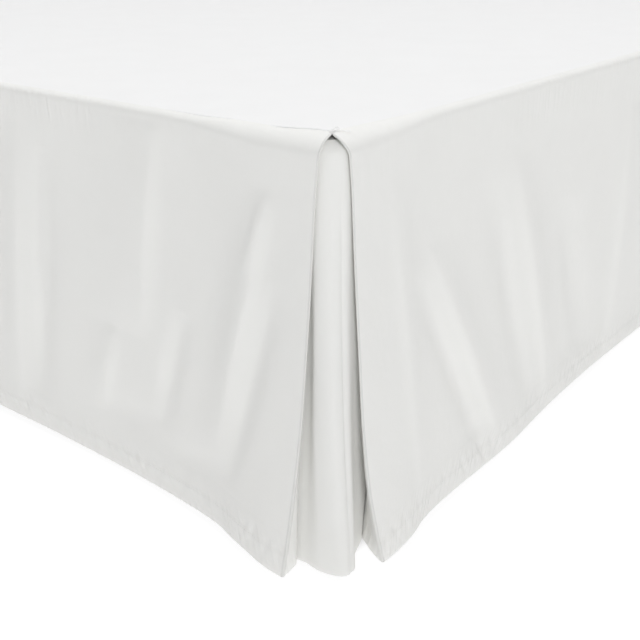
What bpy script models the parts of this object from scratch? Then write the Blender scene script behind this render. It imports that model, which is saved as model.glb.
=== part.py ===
"""Tailored bed skirt on the box spring bed base that it hangs from.

The foot of the bed points along -Y, its head along +Y, and the legs stand on Z = 0.
The deck cloth lies on the box. A panel hangs from it on the foot end and on both long
sides, and each foot corner has an inverted pleat: the two panels are folded back there,
and a separate insert fills the slit behind their folded edges.

Places on a panel are given as "along", the distance from the foot corner of the box,
"out", the distance in front of the box's face, and "drop", which is 0 where the cloth
leaves its rolled top edge and 1 at the hem.
"""
import math
from collections import namedtuple

import bmesh
import bpy
from mathutils import Vector

BED_WIDTH = 1.524
BED_LENGTH = 2.032
BOX_TOP = 0.379
BOX_UNDERSIDE = 0.150
BOX_CORNER_RADIUS = 0.022
BOX_EDGE_RADIUS = 0.012
BOX_LOWER_EDGE_RADIUS = 0.004
BOX_CORNER_STEPS = 6
BOX_EDGE_STEPS = 5
BOX_LOWER_EDGE_STEPS = 2

CLOTH = 0.0012
GAP = 0.0003
SIDE_CLEARANCE = 0.0025
ROLL_RADIUS = 0.010
SEAM_INSET = 0.0107
SEAM_GAP = 0.0006
LAYER_PITCH = 0.0019
HEM_HEIGHT = 0.006
HEM_WAVE = 0.0012
HEM_WAVE_LENGTH = 0.37
HEAD_EDGE_INSET = 0.006
FLARE_POWER = 1.6
FOLD_FADE_POWER = 0.7
FREE_BELOW_BOX = 0.025

LEG_RADIUS = 0.028
LEG_FOOT_RADIUS = 0.022
LEG_SIDES = 16
LEG_ACROSS = 0.680
LEG_ALONG = (-0.930, 0.0, 0.930)

# The foot hem stands further out than the head end of the box, so the model is moved
# towards the head by half of that, which puts the middle of its outline on the origin.
FOOT_OVERHANG = 0.0389
HEADWARD_SHIFT = FOOT_OVERHANG / 2

CLOTH_COLOUR = (0.84, 0.84, 0.83)
TICKING_COLOUR = (0.62, 0.60, 0.57)
LEG_COLOUR = (0.03, 0.03, 0.03)
CLOTH_ROUGHNESS = 0.9
LEG_ROUGHNESS = 0.5
SHARP_ANGLE = math.radians(50)

HALF_WIDTH = BED_WIDTH / 2
HALF_LENGTH = BED_LENGTH / 2
FACE_OUT = SIDE_CLEARANCE + CLOTH / 2
ROLL_CENTRE_OUT = SIDE_CLEARANCE - ROLL_RADIUS
ROLL_CENTRE_HEIGHT = BOX_TOP + GAP - ROLL_RADIUS
ROLL_MIDDLE = ROLL_RADIUS + CLOTH / 2
STACK = 2 * LAYER_PITCH
STACK_FULL = 0.055
STACK_NONE = 0.140
LAP_HALF = CLOTH / 2 + GAP
LAP_LENGTH = 0.006

HemRow = namedtuple("HemRow", "along out")
FOOT_HEM = [
    HemRow(0.020, 0.0385),
    HemRow(0.048, 0.0372),
    HemRow(0.071, 0.0325),
    HemRow(0.096, 0.0265),
    HemRow(0.122, 0.0195),
    HemRow(0.177, 0.0140),
    HemRow(0.242, 0.0105),
    HemRow(0.310, 0.0100),
    HemRow(0.383, 0.0120),
    HemRow(0.488, 0.0160),
    HemRow(0.620, 0.0120),
    HemRow(0.762, 0.0150),
]
SIDE_HEM = [
    HemRow(0.020, 0.0300),
    HemRow(0.039, 0.0312),
    HemRow(0.057, 0.0312),
    HemRow(0.080, 0.0290),
    HemRow(0.109, 0.0230),
    HemRow(0.157, 0.0205),
    HemRow(0.283, 0.0200),
    HemRow(0.370, 0.0150),
    HemRow(0.530, 0.0120),
    HemRow(0.663, 0.0125),
    HemRow(0.820, 0.0175),
    HemRow(1.010, 0.0120),
    HemRow(1.240, 0.0180),
    HemRow(1.480, 0.0130),
    HemRow(1.720, 0.0170),
    HemRow(1.940, 0.0120),
    HemRow(2.032, 0.0110),
]

# Soft folds: where the crest starts and ends, how far it reaches towards the corner and
# away from it, and how far it stands out, or in where the depth is negative.
Fold = namedtuple(
    "Fold", "top_along top_height low_along low_height near_width far_width depth"
)
FOOT_FOLDS = [
    Fold(0.053, 0.335, 0.127, 0.075, 0.010, 0.022, 0.0050),
    Fold(0.057, 0.332, 0.079, 0.262, 0.007, 0.006, 0.0020),
    Fold(0.047, 0.262, 0.106, 0.055, 0.013, 0.010, -0.0045),
    Fold(0.188, 0.372, 0.226, 0.165, 0.013, 0.060, 0.0052),
    Fold(0.164, 0.205, 0.204, 0.075, 0.015, 0.012, -0.0045),
    Fold(0.266, 0.165, 0.296, 0.065, 0.010, 0.026, 0.0036),
    Fold(0.355, 0.325, 0.404, 0.040, 0.021, 0.012, -0.0062),
    Fold(0.390, 0.345, 0.444, 0.020, 0.012, 0.024, 0.0046),
    Fold(0.545, 0.300, 0.520, 0.020, 0.020, 0.034, 0.0060),
    Fold(0.690, 0.260, 0.740, -0.020, 0.024, 0.036, 0.0055),
    Fold(0.860, 0.330, 0.890, 0.040, 0.026, 0.020, -0.0040),
    Fold(1.010, 0.300, 0.970, -0.020, 0.024, 0.036, 0.0055),
    Fold(1.180, 0.280, 1.220, 0.020, 0.022, 0.034, 0.0045),
    Fold(1.360, 0.340, 1.330, 0.060, 0.022, 0.018, -0.0032),
    Fold(1.450, 0.300, 1.400, 0.060, 0.018, 0.018, 0.0036),
]
SIDE_FOLDS_RIGHT = [
    Fold(0.068, 0.340, 0.110, 0.010, 0.010, 0.022, 0.0032),
    Fold(0.110, 0.245, 0.228, 0.015, 0.017, 0.011, -0.0050),
    Fold(0.130, 0.265, 0.266, 0.005, 0.011, 0.030, 0.0050),
    Fold(0.238, 0.300, 0.328, 0.025, 0.024, 0.016, -0.0062),
    Fold(0.278, 0.315, 0.380, 0.010, 0.013, 0.032, 0.0058),
    Fold(0.395, 0.245, 0.472, 0.035, 0.026, 0.030, -0.0050),
    Fold(0.560, 0.320, 0.546, 0.010, 0.014, 0.042, 0.0070),
    Fold(0.700, 0.290, 0.760, -0.020, 0.026, 0.036, 0.0055),
    Fold(0.930, 0.330, 0.900, 0.030, 0.030, 0.026, -0.0040),
    Fold(1.080, 0.270, 1.140, -0.020, 0.030, 0.040, 0.0060),
    Fold(1.330, 0.310, 1.290, 0.020, 0.028, 0.034, 0.0050),
    Fold(1.560, 0.280, 1.620, -0.020, 0.030, 0.038, 0.0055),
    Fold(1.800, 0.330, 1.780, 0.030, 0.030, 0.026, -0.0038),
    Fold(1.920, 0.300, 1.890, -0.020, 0.024, 0.030, 0.0042),
]
SIDE_FOLDS_LEFT = [
    Fold(0.070, 0.320, 0.120, 0.010, 0.014, 0.024, 0.0036),
    Fold(0.150, 0.260, 0.215, 0.010, 0.022, 0.018, -0.0042),
    Fold(0.240, 0.335, 0.290, -0.020, 0.018, 0.034, 0.0048),
    Fold(0.480, 0.300, 0.440, 0.010, 0.024, 0.036, 0.0052),
    Fold(0.680, 0.280, 0.730, 0.010, 0.030, 0.026, -0.0040),
    Fold(0.900, 0.320, 0.860, -0.010, 0.026, 0.038, 0.0052),
    Fold(1.150, 0.290, 1.200, 0.010, 0.026, 0.034, 0.0048),
    Fold(1.420, 0.330, 1.390, 0.030, 0.032, 0.026, -0.0040),
    Fold(1.640, 0.280, 1.690, -0.020, 0.030, 0.038, 0.0058),
    Fold(1.870, 0.310, 1.840, 0.010, 0.024, 0.030, 0.0042),
]

# One row for each height: where the folded edge stands, how far the cloth turns round in
# its fold, where the folded-back strip bellies, and where its seam with the insert lies.
PleatRow = namedtuple(
    "PleatRow", "drop edge fold_radius fold_turn belly_along belly_out seam_along seam_out seam_turn"
)
FOOT_PLEAT = [
    PleatRow(0.00, 0.0055, 0.00095, 180, 0.0260, 0.0050, 0.0450, 0.00400, 0),
    PleatRow(0.09, 0.0092, 0.00095, 178, 0.0270, 0.0053, 0.0460, 0.00405, -1),
    PleatRow(0.40, 0.0133, 0.00110, 165, 0.0300, 0.0078, 0.0480, 0.00470, -6),
    PleatRow(0.62, 0.0156, 0.00130, 135, 0.0290, 0.0100, 0.0460, 0.00600, -10),
    PleatRow(0.80, 0.0195, 0.00150, 108, 0.0275, 0.0135, 0.0425, 0.00880, -12),
    PleatRow(1.00, 0.0245, 0.00170, 92, 0.0272, 0.0180, 0.0385, 0.01180, -12),
]
SIDE_PLEAT = [
    PleatRow(0.00, 0.0125, 0.00095, 180, 0.0310, 0.0050, 0.0490, 0.00400, 0),
    PleatRow(0.09, 0.0155, 0.00095, 178, 0.0320, 0.0053, 0.0500, 0.00405, -1),
    PleatRow(0.40, 0.0180, 0.00110, 165, 0.0350, 0.0072, 0.0520, 0.00450, -6),
    PleatRow(0.62, 0.0180, 0.00130, 140, 0.0340, 0.0085, 0.0510, 0.00430, -12),
    PleatRow(0.80, 0.0212, 0.00145, 118, 0.0340, 0.0105, 0.0495, -0.00150, -42),
    PleatRow(1.00, 0.0310, 0.00160, 98, 0.0370, 0.0140, 0.0485, -0.00850, -64),
]

# The insert's route round the corner in plan, seen from above: across is measured from the
# long side's face outwards, and back from the foot end's face towards the head.
InsertRow = namedtuple("InsertRow", "drop left_base left_flank front right_flank right_base")
ROUND_CORNER_TURNS = (-90, -67.5, -45, -22.5, 0)
INSERT_ROUTE = [
    InsertRow(0.40, (-0.0240, -0.0038), (-0.0115, -0.0054), (0.0020, -0.0020),
              (0.0054, 0.0115), (0.0038, 0.0240)),
    InsertRow(0.62, (-0.0240, -0.0048), (-0.0100, -0.0072), (0.0055, -0.0050),
              (0.0088, 0.0100), (0.0040, 0.0240)),
    InsertRow(1.00, (-0.0220, -0.0105), (-0.0040, -0.0115), (0.0140, -0.0050),
              (0.0168, 0.0080), (0.0045, 0.0250)),
]

# The rolled top edge, from the seam on the deck down to the face. The folded edges of the
# two panels meet at the seam and part again over the roll, so the insert shows in an arch.
RollRow = namedtuple("RollRow", "inset angle foot_edge side_edge insert_angle")
ROLL_ROWS = [
    RollRow(SEAM_INSET + ROLL_CENTRE_OUT, 0.0, 0.0105, 0.0140, 42.0),
    RollRow(0.0, 0.0, 0.0076, 0.0112, 50.0),
    RollRow(0.0, 24.0, 0.0050, 0.0098, 59.0),
    RollRow(0.0, 46.0, 0.0050, 0.0108, 69.0),
    RollRow(0.0, 68.0, 0.0050, 0.0120, 79.0),
]
DROP_ROWS = (0.0, 0.08, 0.18, 0.30, 0.42, 0.54, 0.66, 0.77, 0.87, 0.945, 1.0)

TURN_STATIONS = (0.0, 0.16, 0.36, 0.56, 0.76)
FOLD_STEPS = 4
CORNER_REACH = 0.110
CORNER_STATIONS = (0.0, 0.008, 0.020, 0.036, 0.054, 0.072, 0.090, 0.110)
FINE_STEP = 0.022
COARSE_STEP = 0.043
FOOT_FINE_REACH = 0.440
SIDE_FINE_REACH = 0.600
INSERT_STATIONS = 19
PATH_STEPS = 16
BOX_PRESS_STATIONS = (0.055, 0.0725, 0.090, 0.1075, 0.125, 0.140)


def smoothstep(low, high, value):
    """0 below low, 1 above high, and an even rise between."""
    share = min(max((value - low) / (high - low), 0.0), 1.0)
    return share * share * (3 - 2 * share)


def blend(first, second, leaving, arriving, share):
    """A point between two others, with the pulls that leave the first and reach the second."""
    cubic = 2 * first - 2 * second + leaving + arriving
    square = 3 * second - 3 * first - 2 * leaving - arriving
    return ((cubic * share + square) * share + leaving) * share + first


def read_curve(rows, column, at):
    """A smooth curve through one column of a table, whose first column is the position."""
    places = [row[0] for row in rows]
    values = [getattr(row, column) for row in rows]
    at = min(max(at, places[0]), places[-1])
    index = 0
    while index < len(places) - 2 and at > places[index + 1]:
        index += 1

    def slope(knot):
        before = max(knot - 1, 0)
        after = min(knot + 1, len(places) - 1)
        return (values[after] - values[before]) / (places[after] - places[before])

    span = places[index + 1] - places[index]
    share = (at - places[index]) / span
    leaving = slope(index) * span
    arriving = slope(index + 1) * span
    return blend(values[index], values[index + 1], leaving, arriving, share)


def through_points(points):
    """A smooth plan curve through a few points, as many short straight steps."""
    route = []
    last = len(points) - 1
    for index in range(last):
        before = points[max(index - 1, 0)]
        first = points[index]
        second = points[index + 1]
        after = points[min(index + 2, last)]
        for step in range(PATH_STEPS):
            leaving = (second - before) / 2
            arriving = (after - first) / 2
            route.append(blend(first, second, leaving, arriving, step / PATH_STEPS))
    route.append(points[last])
    return route


def at_shares(route, shares):
    """Points at the given shares of a route's length."""
    lengths = [0.0]
    for first, second in zip(route, route[1:]):
        lengths.append(lengths[-1] + (second - first).length)
    found = []
    for share in shares:
        goal = share * lengths[-1]
        index = 0
        while index < len(lengths) - 2 and lengths[index + 1] < goal:
            index += 1
        step = lengths[index + 1] - lengths[index]
        found.append(route[index].lerp(route[index + 1], (goal - lengths[index]) / step))
    return found


def stack_depth(distance):
    """How much room the pleat's inner layers take at this distance from the corner.

    The outer cloth stands proud of the face by this much, and the soft top edge of the
    box is pressed down by as much, so the deck stays level."""
    return STACK * (1 - smoothstep(STACK_FULL, STACK_NONE, distance))


def fold_relief(folds, along, height):
    """The soft ridges and troughs that run down a panel."""
    relief = 0.0
    for fold in folds:
        share = (fold.top_height - height) / (fold.top_height - fold.low_height)
        if 0 < share < 1:
            distance = along - fold.top_along - (fold.low_along - fold.top_along) * share
            width = fold.near_width if distance < 0 else fold.far_width
            across = math.exp(-((distance / width) ** 2))
            relief += fold.depth * across * math.sin(math.pi * share) ** FOLD_FADE_POWER
    return relief


def hem_height(along):
    """The hem hangs a little unevenly over the floor."""
    return HEM_HEIGHT + HEM_WAVE * math.sin(2 * math.pi * along / HEM_WAVE_LENGTH)


def face_height(along, drop, stack):
    """The height of a place on the face, which starts lower where the stack is thick."""
    start = ROLL_CENTRE_HEIGHT - stack
    return start + (hem_height(along) - start) * drop


class Panel:
    """One drop panel: its length, its uneven hem, its folds and its pleated ends."""

    def __init__(self, span, hem, folds, start_pleat, start_roll, end_pleat=None):
        self.span = span
        self.hem = hem
        self.folds = folds
        self.start_pleat = start_pleat
        self.start_roll = start_roll
        self.end_pleat = end_pleat

    def hem_out(self, along):
        if self.end_pleat:
            along = min(along, self.span - along)
        return read_curve(self.hem, "out", along)

    def stack(self, along):
        depth = stack_depth(along)
        if self.end_pleat:
            depth += stack_depth(self.span - along)
        return depth

    def front_out(self, along, drop):
        """How far the outer cloth's middle stands in front of the box's face."""
        rest = FACE_OUT + self.stack(along)
        height = face_height(along, drop, self.stack(along))
        out = rest + (self.hem_out(along) - rest) * drop ** FLARE_POWER
        out += fold_relief(self.folds, along, height)
        if height > BOX_UNDERSIDE - FREE_BELOW_BOX:
            out = max(out, rest)
        return out

    def edge(self, roll_row, drop):
        if roll_row:
            return getattr(roll_row, self.start_roll)
        return read_curve(self.start_pleat, "edge", drop)

    def turned_back(self, roll_row, drop):
        """Plan route of the folded-back strip, from its seam to the front of the fold."""
        read = {name: read_curve(self.start_pleat, name, drop) for name in PleatRow._fields[1:]}
        edge = self.edge(roll_row, drop)
        radius = read["fold_radius"]
        centre_along = edge + radius
        front = self.front_out(centre_along, drop)
        centre = Vector((centre_along, front - radius))
        turn = math.radians(read["seam_turn"])
        seam_way = Vector((math.cos(turn), math.sin(turn)))
        seam_side = Vector((-seam_way.y, seam_way.x))
        seam_end = Vector((read["seam_along"], read["seam_out"])) + seam_side * LAP_HALF
        fold = []
        for step in range(FOLD_STEPS + 1):
            angle = math.radians(90 + read["fold_turn"] * (1 - step / FOLD_STEPS))
            fold.append(centre + Vector((math.cos(angle), math.sin(angle))) * radius)
        leaving = math.radians(read["fold_turn"])
        leaving_way = Vector((-math.cos(leaving), -math.sin(leaving)))
        strip = [
            seam_end,
            seam_end - seam_way * LAP_LENGTH,
            Vector((read["belly_along"], read["belly_out"])),
            fold[0] + leaving_way * 2 * radius,
            fold[0],
        ]
        return at_shares(through_points(strip), TURN_STATIONS) + fold

    def corner_front(self, roll_row, drop):
        """The outer cloth from the fold to the plain stretch."""
        radius = read_curve(self.start_pleat, "fold_radius", drop)
        start = self.edge(roll_row, drop) + radius
        points = []
        for station in CORNER_STATIONS[1:]:
            along = start + station * (CORNER_REACH - start) / CORNER_REACH
            points.append(Vector((along, self.front_out(along, drop))))
        return points

    def plain_front(self, stations, drop):
        return [Vector((along, self.front_out(along, drop))) for along in stations]


def even_stations(start, end, step):
    count = math.ceil((end - start) / step)
    return [start + (end - start) * (index + 1) / count for index in range(count)]


def rows_down():
    """Every row of a sheet: its row of the roll, or None, and its drop."""
    return [(row, 0.0) for row in ROLL_ROWS] + [(None, drop) for drop in DROP_ROWS]


def place_on_roll(degrees, out, stack):
    """Turns a distance in front of the face into a place on the rolled top edge."""
    radius = ROLL_MIDDLE + out - FACE_OUT
    angle = math.radians(degrees)
    rolled_out = ROLL_CENTRE_OUT + radius * math.sin(angle)
    return rolled_out, ROLL_CENTRE_HEIGHT - stack + radius * math.cos(angle)


def panel_rows(panel, stations):
    """The panel's points in its own along, out and height, row by row."""
    rows = []
    for roll_row, drop in rows_down():
        plan = panel.turned_back(roll_row, drop)
        plan += panel.corner_front(roll_row, drop)
        plan += panel.plain_front(stations, drop)
        if panel.end_pleat:
            mirrored = panel.turned_back(roll_row, drop) + panel.corner_front(roll_row, drop)
            plan += [Vector((panel.span - point.x, point.y)) for point in reversed(mirrored)]
        row = []
        for point in plan:
            stack = panel.stack(point.x)
            out, height = point.y, face_height(point.x, drop, stack)
            if roll_row:
                out, height = place_on_roll(roll_row.angle, point.y, stack)
                out -= roll_row.inset
            row.append((point.x, out, height))
        rows.append(row)
    return rows


def insert_rows():
    """The pleat insert's points: across, back and height, row by row."""
    shares = [index / (INSERT_STATIONS - 1) for index in range(INSERT_STATIONS)]
    rows = []
    for roll_row, drop in rows_down():
        route = at_shares(through_points(insert_plan(drop)), shares)
        row = []
        for index, point in enumerate(route):
            inward, height = 0.0, face_height(0.0, drop, STACK)
            if roll_row:
                out, height = place_on_roll(roll_row.insert_angle, FACE_OUT, STACK)
                inward = FACE_OUT - out
            before = route[max(index - 1, 0)]
            after = route[min(index + 1, len(route) - 1)]
            way = (after - before).normalized()
            row.append((point.x - way.y * inward, point.y + way.x * inward, height))
        rows.append(row)
    return rows


def insert_plan(drop):
    """Control points of the insert at one height, from the foot seam to the side seam."""
    foot_end, foot_start = seam_points(FOOT_PLEAT, drop)
    side_end, side_start = seam_points(SIDE_PLEAT, drop)
    route = [InsertRow(0.0, *round_corner())]
    route += [InsertRow(row.drop, *(Vector(place) for place in row[1:])) for row in INSERT_ROUTE]
    middle = [read_curve(route, name, drop) for name in InsertRow._fields[1:]]
    foot_points = [Vector((-point.x, -point.y)) for point in (foot_end, foot_start)]
    side_points = [Vector((point.y, point.x)) for point in (side_start, side_end)]
    return foot_points + middle + side_points


def round_corner():
    """The insert's route over the box's rounded corner, at the top of the drop."""
    centre = Vector((-BOX_CORNER_RADIUS, BOX_CORNER_RADIUS))
    radius = BOX_CORNER_RADIUS + FACE_OUT
    turns = [math.radians(degrees) for degrees in ROUND_CORNER_TURNS]
    return [centre + Vector((math.cos(turn), math.sin(turn))) * radius for turn in turns]


def seam_points(pleat, drop):
    """The insert's two points along its lap with a folded-back strip: end and start."""
    turn = math.radians(read_curve(pleat, "seam_turn", drop))
    way = Vector((math.cos(turn), math.sin(turn)))
    side = Vector((-way.y, way.x))
    seam = Vector((read_curve(pleat, "seam_along", drop), read_curve(pleat, "seam_out", drop)))
    end = seam - side * LAP_HALF
    return end, end - way * LAP_LENGTH


def plain_material(name, colour, roughness):
    material = bpy.data.materials.new(name)
    material.use_nodes = True
    shader = material.node_tree.nodes["Principled BSDF"]
    shader.inputs["Base Color"].default_value = (*colour, 1.0)
    shader.inputs["Roughness"].default_value = roughness
    shader.inputs["Metallic"].default_value = 0.0
    return material


def make_object(name, shape, material):
    mesh = bpy.data.meshes.new(name)
    shape.to_mesh(mesh)
    shape.free()
    mesh.materials.append(material)
    mesh.shade_smooth()
    mesh.set_sharp_from_angle(angle=SHARP_ANGLE)
    made = bpy.data.objects.new(name, mesh)
    bpy.context.scene.collection.objects.link(made)
    return made


def make_sheet(name, rows, place, material):
    """A sheet of cloth: a grid moved onto the rows' points, then given its thickness."""
    shape = bmesh.new()
    bmesh.ops.create_grid(shape, x_segments=len(rows[0]) - 1, y_segments=len(rows) - 1, size=1)
    shape.verts.ensure_lookup_table()
    for index, point in enumerate(point for row in rows for point in row):
        shape.verts[index].co = place(*point)
    made = make_object(name, shape, material)
    thickness = made.modifiers.new("Cloth thickness", "SOLIDIFY")
    thickness.thickness = CLOTH
    thickness.offset = 0.0
    thickness.use_even_offset = True
    return made


def make_deck(material):
    """The flat deck cloth, cut to its seams and hemmed just short of the box's head edge."""
    seam = SEAM_INSET + SEAM_GAP
    half = HALF_WIDTH - seam
    foot = seam - HALF_LENGTH
    head = HALF_LENGTH - HEAD_EDGE_INSET - BOX_EDGE_RADIUS
    level = BOX_TOP + GAP + CLOTH / 2
    rows = [[(side, back + HEADWARD_SHIFT, level) for side in (-half, half)] for back in (foot, head)]
    return make_sheet("deck", rows, as_given, material)


def make_base_box(material):
    """The box spring: rounded upright corners and a soft top edge, pressed down a little
    at the foot corners where the pleats' layers lie on it."""
    height = BOX_TOP - BOX_UNDERSIDE
    middle = BOX_UNDERSIDE + height / 2
    shape = bmesh.new()
    bmesh.ops.create_cube(shape, size=1)
    bmesh.ops.scale(shape, vec=(BED_WIDTH, BED_LENGTH, height), verts=shape.verts)
    bmesh.ops.translate(shape, vec=(0, 0, middle), verts=shape.verts)
    upright = [edge for edge in shape.edges if edge.calc_length() < height + GAP]
    bmesh.ops.bevel(shape, geom=upright, offset=BOX_CORNER_RADIUS, segments=BOX_CORNER_STEPS,
                    profile=0.5, affect="EDGES")
    for level, radius, steps in ((BOX_TOP, BOX_EDGE_RADIUS, BOX_EDGE_STEPS),
                                 (BOX_UNDERSIDE, BOX_LOWER_EDGE_RADIUS, BOX_LOWER_EDGE_STEPS)):
        rim = [edge for edge in shape.edges
               if all(abs(vert.co.z - level) < GAP for vert in edge.verts)]
        bmesh.ops.bevel(shape, geom=rim, offset=radius, segments=steps, profile=0.5,
                        affect="EDGES")
    soft_level = BOX_TOP - BOX_EDGE_RADIUS - GAP
    cuts = []
    for station in BOX_PRESS_STATIONS:
        cuts.append(((HALF_WIDTH - station, 0, 0), (1, 0, 0)))
        cuts.append(((station - HALF_WIDTH, 0, 0), (1, 0, 0)))
        cuts.append(((0, station - HALF_LENGTH, 0), (0, 1, 0)))
    for place, way in cuts:
        faces = [face for face in shape.faces
                 if all(vert.co.z > soft_level for vert in face.verts)]
        edges = {edge for face in faces for edge in face.edges}
        verts = {vert for face in faces for vert in face.verts}
        bmesh.ops.bisect_plane(shape, geom=list(verts) + list(edges) + faces, plane_co=place,
                               plane_no=way)
    for vert in shape.verts:
        if vert.co.z > soft_level:
            from_side = HALF_WIDTH - abs(vert.co.x)
            from_foot = HALF_LENGTH + vert.co.y
            vert.co.z -= stack_depth(math.hypot(from_side, from_foot))
    bmesh.ops.translate(shape, vec=(0, HEADWARD_SHIFT, 0), verts=shape.verts)
    return make_object("base_box", shape, material)


def make_leg(name, across, along, material):
    """A plain turned leg, a little narrower at the floor."""
    height = BOX_UNDERSIDE - GAP
    shape = bmesh.new()
    bmesh.ops.create_cone(shape, cap_ends=True, segments=LEG_SIDES, radius1=LEG_FOOT_RADIUS,
                          radius2=LEG_RADIUS, depth=height)
    leg = make_object(name, shape, material)
    leg.location = (across, along + HEADWARD_SHIFT, height / 2)
    return leg


def as_given(across, along, height):
    return across, along, height


def on_foot(along, out, height):
    return HALF_WIDTH - along, HEADWARD_SHIFT - HALF_LENGTH - out, height


def on_right_side(along, out, height):
    return HALF_WIDTH + out, HEADWARD_SHIFT - HALF_LENGTH + along, height


def on_left_side(along, out, height):
    return -HALF_WIDTH - out, HEADWARD_SHIFT - HALF_LENGTH + along, height


def at_right_corner(across, back, height):
    return HALF_WIDTH + across, HEADWARD_SHIFT - HALF_LENGTH + back, height


def at_left_corner(across, back, height):
    return -HALF_WIDTH - across, HEADWARD_SHIFT - HALF_LENGTH + back, height


def make_bed_skirt():
    make_deck(plain_material("Deck cloth", CLOTH_COLOUR, CLOTH_ROUGHNESS))

    foot = Panel(BED_WIDTH, FOOT_HEM, FOOT_FOLDS, FOOT_PLEAT, "foot_edge", end_pleat=FOOT_PLEAT)
    stations = even_stations(CORNER_REACH, FOOT_FINE_REACH, FINE_STEP)
    stations += even_stations(FOOT_FINE_REACH, BED_WIDTH - CORNER_REACH, COARSE_STEP)[:-1]
    make_sheet("foot_panel", panel_rows(foot, stations), on_foot,
               plain_material("Foot panel cloth", CLOTH_COLOUR, CLOTH_ROUGHNESS))

    head_edge = BED_LENGTH - HEAD_EDGE_INSET
    for side, folds, place in (("right", SIDE_FOLDS_RIGHT, on_right_side),
                               ("left", SIDE_FOLDS_LEFT, on_left_side)):
        panel = Panel(BED_LENGTH, SIDE_HEM, folds, SIDE_PLEAT, "side_edge")
        fine_reach = SIDE_FINE_REACH if side == "right" else FOOT_FINE_REACH / 2
        stations = even_stations(CORNER_REACH, fine_reach, FINE_STEP)
        stations += even_stations(fine_reach, head_edge, COARSE_STEP)
        make_sheet(f"side_panel_{side}", panel_rows(panel, stations), place,
                   plain_material(f"Side panel cloth {side}", CLOTH_COLOUR, CLOTH_ROUGHNESS))

    for side, place in (("right", at_right_corner), ("left", at_left_corner)):
        make_sheet(f"corner_pleat_{side}", insert_rows(), place,
                   plain_material(f"Pleat cloth {side}", CLOTH_COLOUR, CLOTH_ROUGHNESS))


def make_bed_base():
    make_base_box(plain_material("Box ticking", TICKING_COLOUR, CLOTH_ROUGHNESS))
    for row, along in zip(("foot", "middle", "head"), LEG_ALONG):
        for side, across in (("right", LEG_ACROSS), ("left", -LEG_ACROSS)):
            make_leg(f"leg_{row}_{side}", across, along,
                     plain_material(f"Leg {row} {side}", LEG_COLOUR, LEG_ROUGHNESS))


for existing in list(bpy.data.objects):
    bpy.data.objects.remove(existing, do_unlink=True)
make_bed_skirt()
make_bed_base()
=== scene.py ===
"""White tailored bed skirt on its box spring base, dressed and set up for a studio picture.

The foot of the bed points along -Y and its head along +Y. Places on a panel are given as
"along", the distance from the foot corner of the box, "out", the distance in front of the
box's face, and "drop", which is 0 where the cloth leaves its rolled top edge and 1 at the
hem. On the rolled edge "turn" is the angle round the roll: 90 degrees is its foot, 0 its
crown, and below 0 it stands for the flat stretch between the crown and the seam. Lengths
are in metres and angles in degrees.
"""

import math
from collections import namedtuple

import bmesh
import bpy
import numpy as np
from bpy.props import FloatProperty, FloatVectorProperty, PointerProperty
from mathutils import Matrix, Vector


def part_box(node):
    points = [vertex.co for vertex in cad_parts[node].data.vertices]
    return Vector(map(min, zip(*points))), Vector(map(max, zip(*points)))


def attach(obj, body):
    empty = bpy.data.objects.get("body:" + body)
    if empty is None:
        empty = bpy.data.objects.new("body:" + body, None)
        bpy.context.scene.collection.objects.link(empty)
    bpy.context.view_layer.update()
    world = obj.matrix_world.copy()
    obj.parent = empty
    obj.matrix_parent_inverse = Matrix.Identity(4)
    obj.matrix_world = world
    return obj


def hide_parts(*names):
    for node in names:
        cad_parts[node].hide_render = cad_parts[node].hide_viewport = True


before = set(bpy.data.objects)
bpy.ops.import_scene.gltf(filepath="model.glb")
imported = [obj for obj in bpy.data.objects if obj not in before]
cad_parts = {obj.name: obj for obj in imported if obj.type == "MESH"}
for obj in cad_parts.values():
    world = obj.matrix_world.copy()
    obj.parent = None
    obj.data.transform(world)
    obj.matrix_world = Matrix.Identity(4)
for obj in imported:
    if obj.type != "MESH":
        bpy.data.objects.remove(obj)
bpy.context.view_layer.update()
BOX_LOW, BOX_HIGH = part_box("base_box")

bl_info = {
    "name": "Bed skirt",
    "version": (1, 0, 0),
    "blender": (4, 5, 0),
    "location": "3D View > Sidebar > Bed skirt",
    "description": "Builds a tailored bed skirt with corner pleats on a box spring base",
    "category": "Add Mesh",
}

# The base, as it stands in the frame.
HALF_WIDTH = (BOX_HIGH.x - BOX_LOW.x) / 2
HALF_LENGTH = (BOX_HIGH.y - BOX_LOW.y) / 2
BED_WIDTH = 2 * HALF_WIDTH
BED_LENGTH = 2 * HALF_LENGTH
FOOT_LINE = BOX_LOW.y
BOX_TOP = BOX_HIGH.z
BOX_UNDERSIDE = BOX_LOW.z
BOX_CORNER_RADIUS = 0.022
BOX_EDGE_RADIUS = 0.012
BOX_LOWER_EDGE_RADIUS = 0.004

# How the cloth lies on the base.
CLOTH_ROOM = 0.0012
GAP = 0.0003
SIDE_CLEARANCE = 0.0025
ROLL_RADIUS = 0.010
LAYER_PITCH = 0.0019
HEM_HEIGHT = 0.006
HEM_WAVE = 0.0012
HEM_WAVE_LENGTH = 0.37
HEAD_EDGE_INSET = 0.006
FLARE_POWER = 1.6
FOLD_FADE_POWER = 0.7
FREE_BELOW_BOX = 0.025
SLACK = 0.0017
FREE_SWAY = 0.0060
SOFT_TOUCH = 0.0006

FACE_OUT = SIDE_CLEARANCE + CLOTH_ROOM / 2
ROLL_CENTRE_OUT = SIDE_CLEARANCE - ROLL_RADIUS
ROLL_CENTRE_HEIGHT = BOX_TOP + GAP - ROLL_RADIUS
ROLL_MIDDLE = ROLL_RADIUS + CLOTH_ROOM / 2
STACK = 2 * LAYER_PITCH
STACK_FULL = 0.055
STACK_NONE = 0.140
LAP_HALF = CLOTH_ROOM / 2 + GAP
LAP_LENGTH = 0.006

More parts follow.
